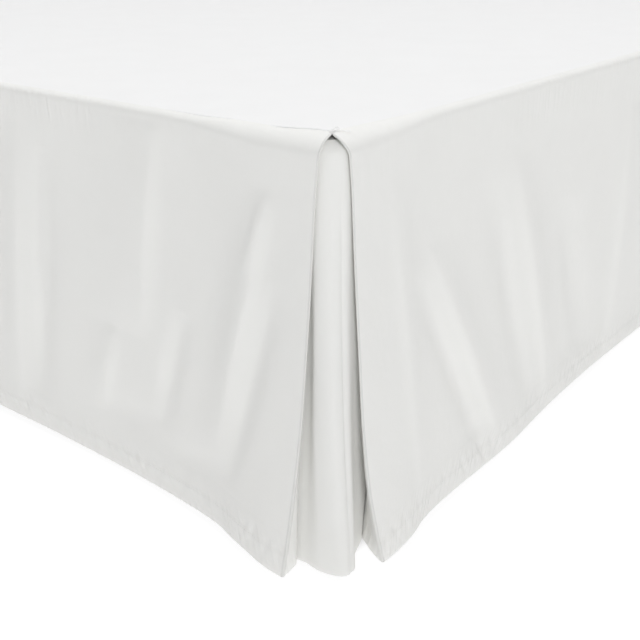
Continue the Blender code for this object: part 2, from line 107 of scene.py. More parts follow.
HemRow = namedtuple("HemRow", "along out")
FOOT_HEM = [
    HemRow(0.020, 0.0385),
    HemRow(0.048, 0.0372),
    HemRow(0.071, 0.0325),
    HemRow(0.096, 0.0265),
    HemRow(0.122, 0.0195),
    HemRow(0.177, 0.0140),
    HemRow(0.242, 0.0105),
    HemRow(0.310, 0.0100),
    HemRow(0.383, 0.0120),
    HemRow(0.488, 0.0160),
    HemRow(0.620, 0.0120),
    HemRow(0.762, 0.0150),
]
SIDE_HEM = [
    HemRow(0.020, 0.0300),
    HemRow(0.039, 0.0312),
    HemRow(0.057, 0.0312),
    HemRow(0.080, 0.0290),
    HemRow(0.109, 0.0230),
    HemRow(0.157, 0.0205),
    HemRow(0.283, 0.0200),
    HemRow(0.370, 0.0150),
    HemRow(0.530, 0.0120),
    HemRow(0.663, 0.0125),
    HemRow(0.820, 0.0175),
    HemRow(1.010, 0.0120),
    HemRow(1.240, 0.0180),
    HemRow(1.480, 0.0130),
    HemRow(1.720, 0.0170),
    HemRow(1.940, 0.0120),
    HemRow(2.032, 0.0110),
]

# Soft folds: where the crest starts and ends, how far it reaches towards the corner and
# away from it, and how far it stands out, or in where the depth is negative.
Fold = namedtuple(
    "Fold", "top_along top_height low_along low_height near_width far_width depth"
)
FOOT_FOLDS = [
    Fold(0.053, 0.335, 0.127, 0.075, 0.010, 0.022, 0.0050),
    Fold(0.057, 0.332, 0.079, 0.262, 0.007, 0.006, 0.0020),
    Fold(0.047, 0.262, 0.106, 0.055, 0.013, 0.010, -0.0045),
    Fold(0.188, 0.372, 0.226, 0.165, 0.013, 0.060, 0.0052),
    Fold(0.164, 0.205, 0.204, 0.075, 0.015, 0.012, -0.0045),
    Fold(0.266, 0.165, 0.296, 0.065, 0.010, 0.026, 0.0036),
    Fold(0.355, 0.325, 0.404, 0.040, 0.021, 0.012, -0.0062),
    Fold(0.390, 0.345, 0.444, 0.020, 0.012, 0.024, 0.0046),
    Fold(0.545, 0.300, 0.520, 0.020, 0.020, 0.034, 0.0060),
    Fold(0.690, 0.260, 0.740, -0.020, 0.024, 0.036, 0.0055),
    Fold(0.860, 0.330, 0.890, 0.040, 0.026, 0.020, -0.0040),
    Fold(1.010, 0.300, 0.970, -0.020, 0.024, 0.036, 0.0055),
    Fold(1.180, 0.280, 1.220, 0.020, 0.022, 0.034, 0.0045),
    Fold(1.360, 0.340, 1.330, 0.060, 0.022, 0.018, -0.0032),
    Fold(1.450, 0.300, 1.400, 0.060, 0.018, 0.018, 0.0036),
]
SIDE_FOLDS_RIGHT = [
    Fold(0.068, 0.340, 0.110, 0.010, 0.010, 0.022, 0.0032),
    Fold(0.110, 0.245, 0.228, 0.015, 0.017, 0.011, -0.0050),
    Fold(0.130, 0.265, 0.266, 0.005, 0.011, 0.030, 0.0050),
    Fold(0.238, 0.300, 0.328, 0.025, 0.024, 0.016, -0.0062),
    Fold(0.278, 0.315, 0.380, 0.010, 0.013, 0.032, 0.0058),
    Fold(0.395, 0.245, 0.472, 0.035, 0.026, 0.030, -0.0050),
    Fold(0.560, 0.320, 0.546, 0.010, 0.014, 0.042, 0.0070),
    Fold(0.700, 0.290, 0.760, -0.020, 0.026, 0.036, 0.0055),
    Fold(0.930, 0.330, 0.900, 0.030, 0.030, 0.026, -0.0040),
    Fold(1.080, 0.270, 1.140, -0.020, 0.030, 0.040, 0.0060),
    Fold(1.330, 0.310, 1.290, 0.020, 0.028, 0.034, 0.0050),
    Fold(1.560, 0.280, 1.620, -0.020, 0.030, 0.038, 0.0055),
    Fold(1.800, 0.330, 1.780, 0.030, 0.030, 0.026, -0.0038),
    Fold(1.920, 0.300, 1.890, -0.020, 0.024, 0.030, 0.0042),
]
SIDE_FOLDS_LEFT = [
    Fold(0.070, 0.320, 0.120, 0.010, 0.014, 0.024, 0.0036),
    Fold(0.150, 0.260, 0.215, 0.010, 0.022, 0.018, -0.0042),
    Fold(0.240, 0.335, 0.290, -0.020, 0.018, 0.034, 0.0048),
    Fold(0.480, 0.300, 0.440, 0.010, 0.024, 0.036, 0.0052),
    Fold(0.680, 0.280, 0.730, 0.010, 0.030, 0.026, -0.0040),
    Fold(0.900, 0.320, 0.860, -0.010, 0.026, 0.038, 0.0052),
    Fold(1.150, 0.290, 1.200, 0.010, 0.026, 0.034, 0.0048),
    Fold(1.420, 0.330, 1.390, 0.030, 0.032, 0.026, -0.0040),
    Fold(1.640, 0.280, 1.690, -0.020, 0.030, 0.038, 0.0058),
    Fold(1.870, 0.310, 1.840, 0.010, 0.024, 0.030, 0.0042),
]

# Shallow places where the cloth falls in over the hem band.
Hollow = namedtuple("Hollow", "along height half_length half_height depth")
FOOT_HOLLOWS = [
    Hollow(0.246, 0.074, 0.050, 0.017, 0.0020),
    Hollow(0.150, 0.058, 0.040, 0.015, 0.0022),
    Hollow(0.560, 0.066, 0.060, 0.016, 0.0018),
    Hollow(1.100, 0.070, 0.070, 0.017, 0.0020),
]
SIDE_HOLLOWS = [
    Hollow(0.205, 0.052, 0.030, 0.012, 0.0016),
    Hollow(0.420, 0.060, 0.050, 0.016, 0.0018),
    Hollow(0.800, 0.064, 0.070, 0.017, 0.0020),
    Hollow(1.400, 0.060, 0.080, 0.016, 0.0018),
]

PleatRow = namedtuple(
    "PleatRow", "drop edge fold_radius fold_turn belly_along belly_out seam_along seam_out seam_turn"
)
FOOT_PLEAT = [
    PleatRow(0.00, 0.0055, 0.00045, 180, 0.0260, 0.0050, 0.0450, 0.00400, 0),
    PleatRow(0.09, 0.0092, 0.00045, 178, 0.0270, 0.0053, 0.0460, 0.00405, -1),
    PleatRow(0.40, 0.0133, 0.00060, 165, 0.0300, 0.0078, 0.0480, 0.00470, -6),
    PleatRow(0.62, 0.0156, 0.00080, 135, 0.0290, 0.0100, 0.0460, 0.00600, -10),
    PleatRow(0.80, 0.0195, 0.00115, 108, 0.0275, 0.0135, 0.0425, 0.00880, -12),
    PleatRow(1.00, 0.0245, 0.00135, 92, 0.0272, 0.0180, 0.0385, 0.01180, -12),
]
SIDE_PLEAT = [
    PleatRow(0.00, 0.0125, 0.00045, 180, 0.0310, 0.0050, 0.0490, 0.00400, 0),
    PleatRow(0.09, 0.0155, 0.00045, 178, 0.0320, 0.0053, 0.0500, 0.00405, -1),
    PleatRow(0.40, 0.0180, 0.00060, 165, 0.0350, 0.0072, 0.0520, 0.00450, -6),
    PleatRow(0.62, 0.0180, 0.00080, 140, 0.0340, 0.0085, 0.0510, 0.00430, -12),
    PleatRow(0.80, 0.0212, 0.00115, 118, 0.0340, 0.0105, 0.0495, -0.00150, -42),
    PleatRow(1.00, 0.0310, 0.00135, 98, 0.0370, 0.0140, 0.0485, -0.00850, -64),
]

# The insert's route round the corner in plan: across from the long side's face outwards,
# and back from the foot end's face towards the head.
InsertRow = namedtuple(
    "InsertRow",
    "drop left_base_x left_base_y left_flank_x left_flank_y front_x front_y"
    " right_flank_x right_flank_y right_base_x right_base_y",
)
INSERT_ROUTE = [
    InsertRow(0.40, -0.0205, -0.0033, -0.0108, -0.0068, 0.0020, -0.0020,
              0.0054, 0.0115, 0.0038, 0.0240),
    InsertRow(0.62, -0.0215, -0.0044, -0.0102, -0.0092, 0.0055, -0.0050,
              0.0088, 0.0100, 0.0040, 0.0240),
    InsertRow(1.00, -0.0220, -0.0105, -0.0040, -0.0115, 0.0140, -0.0050,
              0.0168, 0.0080, 0.0045, 0.0250),
]
ROUND_CORNER_TURNS = (-90, -67.5, -45, -22.5, 0)

# A crease down the insert: where it runs, across the view of the corner, and how deep it is.
CreaseRow = namedtuple("CreaseRow", "drop place depth")
INSERT_CREASE = [
    CreaseRow(0.05, 0.0070, 0.0000), CreaseRow(0.20, 0.0080, 0.0010), CreaseRow(0.60, 0.0100, 0.0014),
    CreaseRow(1.00, 0.0150, 0.0012),
]
CREASE_WIDTH = 0.0016

# Over the roll: where each folded edge stands. The two meet in one line near the crown,
# where they are tacked together, and part further down.
EdgeRow = namedtuple("EdgeRow", "turn along")
FOOT_ROLL_EDGE = [
    EdgeRow(-55.0, 0.01180),
    EdgeRow(-20.0, 0.00800),
    EdgeRow(2.0, 0.00560),
    EdgeRow(12.0, 0.00485),
    EdgeRow(24.0, 0.00420),
    EdgeRow(43.0, 0.00430),
    EdgeRow(58.0, 0.00440),
    EdgeRow(73.0, 0.00490),
    EdgeRow(90.0, 0.00550),
]
SIDE_ROLL_EDGE = [
    EdgeRow(-18.4, 0.01740),
    EdgeRow(0.0, 0.01210),
    EdgeRow(12.0, 0.00840),
    EdgeRow(21.0, 0.00780),
    EdgeRow(30.0, 0.00780),
    EdgeRow(41.0, 0.00800),
    EdgeRow(59.0, 0.00940),
    EdgeRow(72.0, 0.01080),
    EdgeRow(90.0, 0.01250),
]
InsertRoll = namedtuple("InsertRoll", "share turn")
INSERT_ROLL = [
    InsertRoll(0.00, 10.0), InsertRoll(0.22, 31.0), InsertRoll(0.55, 58.0), InsertRoll(1.00, 90.0),
]
INSERT_RAISE = 0.0013
INSERT_RAISE_DROP = 0.35

# The seam between deck and panel: where it runs, how deep it is drawn in, and how squarely
# the cloth turns down beside it (2 is a round edge).
SeamRow = namedtuple("SeamRow", "along turn dip square")
FOOT_SEAM = [
    SeamRow(0.0000, -55.0, 0.00135, 2.0),
    SeamRow(0.0130, -55.0, 0.00135, 2.0),
    SeamRow(0.0250, -47.0, 0.00135, 2.0),
    SeamRow(0.0380, -22.0, 0.00130, 2.0),
    SeamRow(0.0520, 4.0, 0.00110, 2.0),
    SeamRow(0.0650, 7.0, 0.00050, 2.0),
    SeamRow(0.0950, 4.0, 0.00045, 2.1),
    SeamRow(0.1330, 24.0, 0.00060, 2.4),
    SeamRow(0.1520, 25.0, 0.00050, 2.7),
    SeamRow(0.1850, 25.0, 0.00014, 3.2),
    SeamRow(0.7620, 24.0, 0.00014, 3.4),
]
SIDE_SEAM = [
    SeamRow(0.000, -18.4, 0.00015, 2.0),
    SeamRow(0.020, -18.0, 0.00010, 2.0),
    SeamRow(0.060, 2.0, 0.00003, 2.2),
    SeamRow(0.100, 14.0, 0.00003, 2.5),
    SeamRow(0.160, 24.0, 0.00003, 2.8),
    SeamRow(2.032, 25.0, 0.00004, 3.0),
]
DECK_GROOVE = 0.0006
PANEL_GROOVE = 0.0060
LIP_HEIGHT_SHARE = 0.30
LIP_PLACE = 0.0034
LIP_WIDTH = 0.0016

# The hem: a turned-up band, a little proud, with its stitches in a faint groove.
HEM_BAND = 0.022
HEM_PROUD = 0.00060
HEM_STEP_WIDTH = 0.0022
STITCH_HEIGHT = 0.0195
STITCH_GROOVE = 0.00022
STITCH_GROOVE_WIDTH = 0.0013
PUCKER_SPACING = 0.011
PUCKER_DEPTH = 0.00115
PUCKER_LEAN = 0.55
GATHER_SPACING = 0.010
GATHER_DEPTH = 0.00085
GATHER_REACH = 0.036
GATHER_START = 0.18
GATHER_FULL = 0.30

# Mesh resolution.
PATH_STEPS = 48
SEAM_STEPS = (0.0, 0.0003, 0.0006, 0.0012, 0.0022)
ROLL_STEPS = 14
FACE_STEP = 0.0037
HEM_STEP = 0.0019
HEM_FINE_REACH = 0.030
STRIP_COLUMNS = 22
FOLD_COLUMNS = 7
FOLD_MIDDLE = STRIP_COLUMNS + FOLD_COLUMNS // 2
CORNER_REACH = 0.110
CORNER_COLUMNS = 40
FAR_STRIP_COLUMNS = 14
FAR_CORNER_COLUMNS = 24
COLUMN_FINE = 0.0027
SIDE_COLUMNS = {"right": 0.0031, "left": 0.0045}
COLUMN_COARSE = 0.0095
FOOT_FINE_REACH = 0.450
SIDE_FINE_REACH = 0.620
INSERT_ROW_STEP = 0.0030
INSERT_COLUMNS = 110
DECK_EDGE_STEPS = (0.0034, 0.0050, 0.0075, 0.0105)
DECK_CORNER_STEP = 0.0040
DECK_STEP = 0.0240
DECK_FINE_REACH = 0.190
SEAM_LEAD = (0.02, 0.18)
DECK_SAG_START = (0.02, 0.10)
DECK_SAG = 0.00025
LEG_STEPS = 40
MEASURES = "Cloth measures"
SHEET_NAMES = {
    "deck": "deck_cloth",
    "foot_panel": "foot_panel_cloth",
    "side_panel_right": "side_panel_cloth_right",
    "side_panel_left": "side_panel_cloth_left",
    "corner_pleat_right": "corner_pleat_cloth_right",
    "corner_pleat_left": "corner_pleat_cloth_left",
}

# Painted shade on the cloth: how dark its colour is painted at the hem, along a folded edge and
# at the top of the pleat's insert, where shade falls, each as a share of its own colour. Then the weave's
# thread count.
PANEL_LOW_PAINTED_SHADE = 0.985
PLEAT_LOW_PAINTED_SHADE = 0.93
FOLDED_EDGE_PAINTED_SHADE = 0.80
INSERT_TOP_PAINTED_SHADOW = 0.30
THREADS_PER_METRE = 2000.0

# Sewing and the base's trim.
STITCH_PITCH = 0.0030
STITCH_LENGTH = 0.0021
STITCH_RADIUS = 0.00022
STITCH_SUNK = 0.00002
STITCH_START = 0.050
STITCH_END_INSET = 0.004
TACK_STEPS = 6
SIDE_END = BED_LENGTH - HEAD_EDGE_INSET
TACK_THREAD_RADIUS = 0.00028
TACK_BARS = (0.0, 0.22, 0.44, 0.66, 0.88)
BOX_PRESSED = 0.0036
HEAD_CROWN = 0.0030
PIPING_RADIUS = 0.0028


def smoothstep(low, high, value):
    """0 below low, 1 above high, and an even rise between."""
    share = np.clip((value - low) / (high - low), 0.0, 1.0)
    return share * share * (3 - 2 * share)


def blend(first, second, leaving, arriving, share):
    """A point between two others, with the pulls that leave the first and reach the second."""
    cubic = 2 * first - 2 * second + leaving + arriving
    square = 3 * second - 3 * first - 2 * leaving - arriving
    return ((cubic * share + square) * share + leaving) * share + first


def read_curve(rows, column, at):
    """A smooth curve through one column of a table, whose first column is the position."""
    places = np.array([row[0] for row in rows], float)
    values = np.array([getattr(row, column) for row in rows], float)
    knots = np.arange(len(places))
    before = np.maximum(knots - 1, 0)
    after = np.minimum(knots + 1, len(places) - 1)
    slopes = (values[after] - values[before]) / (places[after] - places[before])
    at = np.clip(at, places[0], places[-1])
    index = np.clip(np.searchsorted(places, at) - 1, 0, len(places) - 2)
    span = places[index + 1] - places[index]
    share = (at - places[index]) / span
    leaving, arriving = slopes[index] * span, slopes[index + 1] * span
    return blend(values[index], values[index + 1], leaving, arriving, share)


def smooth_route(points, shares):
    """Places at the given shares of the length of a smooth plan curve through the points."""
    points = np.array(points, float)
    padded = np.vstack([points[:1], points, points[-1:]])
    steps = np.linspace(0, 1, PATH_STEPS, endpoint=False)[:, None]
    pieces = [
        blend(first, second, (second - before) / 2, (after - first) / 2, steps)
        for before, first, second, after in zip(padded, padded[1:], padded[2:], padded[3:])
    ]
    route = np.vstack(pieces + [points[-1:]])
    lengths = np.concatenate([[0], np.cumsum(np.linalg.norm(np.diff(route, axis=0), axis=1))])
    goal = np.asarray(shares) * lengths[-1]
    return np.stack([np.interp(goal, lengths, route[:, axis]) for axis in (0, 1)], axis=1)


def direction(degrees):
    """The way that an angle points in plan."""
    angle = math.radians(degrees)
    return np.array((math.cos(angle), math.sin(angle)))


def left_of(way):
    return np.array((-way[1], way[0]))


def stack_depth(distance):
    """How much room the pleat's inner layers take at this distance from the corner."""
    return STACK * (1 - smoothstep(STACK_FULL, STACK_NONE, distance))


def fold_relief(folds, along, height):
    """The soft ridges and troughs that run down a panel."""
    relief = np.zeros(np.broadcast(along, height).shape)
    for fold in folds:
        share = (fold.top_height - height) / (fold.top_height - fold.low_height)
        inside = np.clip(share, 0, 1)
        distance = along - (fold.top_along + (fold.low_along - fold.top_along) * inside)
        width = np.where(distance < 0, fold.near_width, fold.far_width)
        across = np.exp(-(distance / width) ** 2)
        relief += fold.depth * across * np.sin(math.pi * inside) ** FOLD_FADE_POWER
    return relief


def hollow_relief(hollows, along, height):
    """The shallow places over the hem band."""
    relief = np.zeros(np.broadcast(along, height).shape)
    for hollow in hollows:
        sideways = (along - hollow.along) / hollow.half_length
        upwards = (height - hollow.height) / hollow.half_height
        relief -= hollow.depth * np.exp(-sideways ** 2 - upwards ** 2)
    return relief


Puckers = namedtuple("Puckers", "places strength width lean")


def pucker_row(seed, span, spacing):
    """Uneven places along a seam, with a strength, width and lean for each."""
    chance = np.random.default_rng(seed)
    count = round(span / spacing)
    places = (np.arange(count) + 0.5 + chance.uniform(-0.45, 0.45, count)) * spacing
    patches = 0.5 + 0.5 * np.sin(places * 23.0 + 4.0 * np.sin(places * 7.3))
    strength = chance.uniform(0.2, 1.0, count) * (0.5 + 0.5 * patches)
    width = chance.uniform(0.0028, 0.0048, count)
    lean = chance.uniform(0.3, 1.0, count)
    return Puckers(places, strength, width, lean)


def hem_relief(puckers, along, height):
    """The hem band with its edge, its stitch groove and the short slanted puckers on it."""
    above = height - hem_height(along)
    band = 1 - smoothstep(HEM_BAND - HEM_STEP_WIDTH, HEM_BAND, above)
    groove = np.exp(-((above - STITCH_HEIGHT) / STITCH_GROOVE_WIDTH) ** 2)
    relief = HEM_PROUD * band - STITCH_GROOVE * groove
    fade = smoothstep(-0.004, 0.012, above) * (1 - smoothstep(HEM_BAND, HEM_BAND + 0.016, above))
    distance = np.expand_dims(along, -1) - puckers.places
    distance = distance + PUCKER_LEAN * puckers.lean * (np.expand_dims(above, -1) - HEM_BAND)
    depths = puckers.strength * np.exp(-(distance / puckers.width) ** 2)
    return relief - PUCKER_DEPTH * fade * depths.sum(axis=-1)


def gather_relief(gathers, along, below):
    """Small gathers that start at the seam and fade out below it."""
    reach = GATHER_REACH * (0.5 + 0.5 * gathers.lean)
    below = np.expand_dims(below, -1)
    fade = smoothstep(0.0, 0.006, below) * (1 - smoothstep(0.3 * reach, reach, below))
    distance = np.expand_dims(along, -1) - gathers.places
    return GATHER_DEPTH * (gathers.strength * fade * np.exp(-(distance / gathers.width) ** 2)).sum(axis=-1)


def hem_height(along):
    """The hem hangs a little unevenly over the floor."""
    return HEM_HEIGHT + HEM_WAVE * np.sin(2 * math.pi * along / HEM_WAVE_LENGTH)


def face_height(along, drop, stack):
    """The height of a place on the face, which starts lower where the stack is thick."""
    start = ROLL_CENTRE_HEIGHT - stack
    return start + (hem_height(along) - start) * drop


class Row:
    """One row of a sheet: its distance from the seam, its share of the roll, and its drop."""

    def __init__(self, from_seam, roll_share, drop):
        self.from_seam = from_seam
        self.roll_share = roll_share
        self.drop = drop

    def turn(self, seam_turn):
        start = seam_turn + math.degrees(self.from_seam / ROLL_MIDDLE)
        return start + (90 - start) * self.roll_share


def rows_down(face_step):
    """Every row of a sheet from its seam to its hem, finer at the seam and in the hem."""
    rows = [Row(step, 0.0, 0.0) for step in SEAM_STEPS]
    last = SEAM_STEPS[-1]
    rows += [Row(last, step / ROLL_STEPS, 0.0) for step in range(1, ROLL_STEPS)]
    face = ROLL_CENTRE_HEIGHT - HEM_HEIGHT
    fine_start = 1 - HEM_FINE_REACH / face
    steps = round((face - HEM_FINE_REACH) / face_step)
    rows += [Row(last, 1.0, fine_start * step / steps) for step in range(steps)]
    steps = round(HEM_FINE_REACH / HEM_STEP)
    return rows + [
        Row(last, 1.0, fine_start + (1 - fine_start) * step / steps) for step in range(steps + 1)
    ]


def seam_relief(from_seam, dip):
    """The deck's edge falls steeply to its seam, with a small lip beside it."""
    lip = LIP_HEIGHT_SHARE * np.exp(-((from_seam - LIP_PLACE) / LIP_WIDTH) ** 2)
    return dip * (lip - (1 - smoothstep(0.0, DECK_GROOVE, from_seam)))


def panel_dip(turn_from_seam, dip):
    """The panel rises slowly from the seam, so that the deck's edge stands over it."""
    return -dip * (1 - smoothstep(0.0, PANEL_GROOVE, np.radians(turn_from_seam) * ROLL_MIDDLE))


def place_on_roll(turn, out, stack, square):
    """Turns a distance in front of the face into a place on the rolled top edge."""
    radius = ROLL_MIDDLE + out - FACE_OUT
    angle = np.radians(np.maximum(turn, 0))
    flat = np.radians(np.minimum(turn, 0)) * ROLL_MIDDLE
    sine, cosine = np.sin(angle), np.maximum(np.cos(angle), 0)
    radius = radius / (sine ** square + cosine ** square) ** (1 / square)
    return ROLL_CENTRE_OUT + radius * sine + flat, ROLL_CENTRE_HEIGHT - stack + radius * cosine


class Panel:
    """One drop panel: its length, its uneven hem, its folds, its seam and its pleated ends."""

    def __init__(self, span, hem, folds, hollows, pleat, roll_edge, seam, both_ends, seed, pull):
        self.span = span
        self.hem = hem
        self.folds = folds
        self.hollows = hollows
        self.pleat = pleat
        self.roll_edge = roll_edge
        self.seam = seam
        self.both_ends = both_ends
        self.puckers = pucker_row(seed, span, PUCKER_SPACING)
        gathers = pucker_row(seed + 1, span, GATHER_SPACING)
        tight = 0.3 + 0.7 * smoothstep(GATHER_START, GATHER_FULL, gathers.places)
        self.gathers = gathers._replace(strength=gathers.strength * tight * pull)

    def from_corner(self, along):
        """Distance to the nearest pleated corner."""
        return np.minimum(along, self.span - along) if self.both_ends else along

    def stack(self, along):
        depth = stack_depth(along)
        if self.both_ends:
            depth = depth + stack_depth(self.span - along)
        return depth

    def read_seam(self, name, along):
        return read_curve(self.seam, name, self.from_corner(along))

    def front_out(self, along, drop):
        """How far the outer cloth's middle stands in front of the box's face."""
        stack = self.stack(along)
        rest = FACE_OUT + stack
        height = face_height(along, drop, stack)
        out = rest + (read_curve(self.hem, "out", self.from_corner(along)) - rest) * drop ** FLARE_POWER
        if np.any(drop > 0):
            out += fold_relief(self.folds, along, height)
            out += hollow_relief(self.hollows, along, height)
            out += hem_relief(self.puckers, along, height)
        free = 1 - smoothstep(BOX_UNDERSIDE - 2 * FREE_BELOW_BOX, BOX_UNDERSIDE, height)
        closest = rest - SLACK * (1 - stack / STACK) - FREE_SWAY * free
        out = closest + SOFT_TOUCH * np.logaddexp(0.0, (out - closest) / SOFT_TOUCH)
        return out + gather_relief(self.gathers, along, BOX_TOP - ROLL_RADIUS / 2 - height)

    def edge(self, row):
        if row.roll_share < 1:
            return read_curve(self.roll_edge, "along", row.turn(self.seam[0].turn))
        return read_curve(self.pleat, "edge", row.drop)

    def turned_back(self, row, columns):
        """Plan route of the folded-back strip, from its seam to the front of the fold."""
        read = {name: read_curve(self.pleat, name, row.drop) for name in PleatRow._fields[1:]}
        radius = read["fold_radius"]
        centre_along = self.edge(row) + radius
        centre = np.array((centre_along, self.front_out(centre_along, row.drop) - radius))
        seam_way = direction(read["seam_turn"])
        seam_end = np.array((read["seam_along"], read["seam_out"])) + left_of(seam_way) * LAP_HALF
        angles = 90 + read["fold_turn"] * np.linspace(1, 0, FOLD_COLUMNS + 1)
        fold = [centre + direction(angle) * radius for angle in angles]
        strip = [
            seam_end,
            seam_end - seam_way * LAP_LENGTH,
            np.array((read["belly_along"], read["belly_out"])),
            fold[0] - direction(read["fold_turn"]) * 2 * radius,
            fold[0],
        ]
        shares = np.linspace(0, 1, columns, endpoint=False)
        return np.vstack([smooth_route(strip, shares), fold])

    def corner_front(self, row, columns):
        """The outer cloth from the fold to the plain stretch."""
        start = self.edge(row) + read_curve(self.pleat, "fold_radius", row.drop)
        along = start + (CORNER_REACH - start) * np.linspace(0, 1, columns + 1)[1:]
        return np.stack([along, self.front_out(along, row.drop)], axis=1)

    def plan(self, row, layout):
        """One row of the panel from above, as places along and out."""
        parts = [self.turned_back(row, layout.strip), self.corner_front(row, layout.corner)]
        parts.append(np.stack([layout.stations, self.front_out(layout.stations, row.drop)], axis=1))
        if self.both_ends:
            end = [self.turned_back(row, layout.far_strip), self.corner_front(row, layout.far_corner)]
            end = np.vstack(end)[::-1]
            parts.append(np.stack([self.span - end[:, 0], end[:, 1]], axis=1))
        return np.vstack(parts)


Layout = namedtuple("Layout", "strip corner stations far_strip far_corner")


def even_stations(start, end, step):
    count = math.ceil((end - start) / step)
    return start + (end - start) * (np.arange(count) + 1) / count


def fine_then_coarse(fine_step, fine_reach, end):
    """Places along a plain stretch, closer together near the photographed corner."""
    fine = even_stations(CORNER_REACH, fine_reach, fine_step)
    return np.concatenate([fine, even_stations(fine_reach, end, COLUMN_COARSE)])


def panel_points(panel, rows, layout):
    """The panel's middle surface as along, out and height, row by row."""
    sheet = []
    for row in rows:
        plan = panel.plan(row, layout)
        along, out = plan[:, 0], plan[:, 1]
        stack = panel.stack(along)
        height = face_height(along, row.drop, stack)
        if row.roll_share < 1:
            seam_turn = panel.read_seam("turn", along)
            turn = row.turn(seam_turn)
            out = out + panel_dip(turn - seam_turn, panel.read_seam("dip", along))
            out, height = place_on_roll(turn, out, stack, panel.read_seam("square", along))
        sheet.append(np.stack([along, out, height], axis=1))
    return np.array(sheet)


def insert_plan(drop):
    """Control points of the insert at one height, from the foot seam to the side seam."""
    ends = []
    for pleat in (FOOT_PLEAT, SIDE_PLEAT):
        way = direction(read_curve(pleat, "seam_turn", drop))
        seam = np.array((read_curve(pleat, "seam_along", drop), read_curve(pleat, "seam_out", drop)))
        end = seam - left_of(way) * LAP_HALF
        ends.append((end, end - way * LAP_LENGTH))
    foot_points = [-place for place in ends[0]]
    side_points = [place[::-1] for place in reversed(ends[1])]
    radius = BOX_CORNER_RADIUS + FACE_OUT
    centre = np.array((-BOX_CORNER_RADIUS, BOX_CORNER_RADIUS))
    corner = np.concatenate([centre + direction(turn) * radius for turn in ROUND_CORNER_TURNS])
    route = [InsertRow(0.0, *corner)] + INSERT_ROUTE
    middle = np.array([read_curve(route, name, drop) for name in InsertRow._fields[1:]])
    return foot_points + list(middle.reshape(-1, 2)) + side_points


def insert_points(rows, columns):
    """The pleat insert's middle surface: across, back and height, row by row."""
    sheet = []
    across = np.linspace(0, 1, columns + 1)
    raised_share = smoothstep(0.15, 0.30, across) * (1 - smoothstep(0.72, 0.87, across))
    for row in rows:
        route = smooth_route(insert_plan(row.drop), across)
        raised = INSERT_RAISE * raised_share * (1 - smoothstep(0.0, INSERT_RAISE_DROP, row.drop))
        inward, height = -raised, face_height(0.0, row.drop, STACK)
        if row.roll_share < 1:
            share = (row.from_seam / ROLL_MIDDLE + row.roll_share) / (1 + SEAM_STEPS[-1] / ROLL_MIDDLE)
            turn = read_curve(INSERT_ROLL, "turn", share)
            out, height = place_on_roll(turn, FACE_OUT + raised, STACK, 2.0)
            inward = FACE_OUT - out
        way = np.gradient(route, axis=0)
        way /= np.linalg.norm(way, axis=1, keepdims=True)
        place = (route[:, 0] + route[:, 1]) * math.sqrt(0.5) - read_curve(INSERT_CREASE, "place", row.drop)
        depth = read_curve(INSERT_CREASE, "depth", row.drop)
        inward = inward + depth * np.exp(-(place / CREASE_WIDTH) ** 2)
        sheet.append(np.stack([
            route[:, 0] - way[:, 1] * inward,
            route[:, 1] + way[:, 0] * inward,
            np.broadcast_to(height, len(route)),
        ], axis=1))
    return np.array(sheet)


def on_foot(points):
    return np.stack([HALF_WIDTH - points[..., 0], FOOT_LINE - points[..., 1], points[..., 2]], axis=-1)


def on_right_side(points):
    return np.stack([HALF_WIDTH + points[..., 1], FOOT_LINE + points[..., 0], points[..., 2]], axis=-1)


def at_right_corner(points):
    return np.stack([HALF_WIDTH + points[..., 0], FOOT_LINE + points[..., 1], points[..., 2]], axis=-1)


def across_the_bed(place):
    """The same way of placing points, on the bed's other side."""
    return lambda points: place(points) * (-1, 1, 1)


def both_sides(place):
    return ("right", place), ("left", across_the_bed(place))


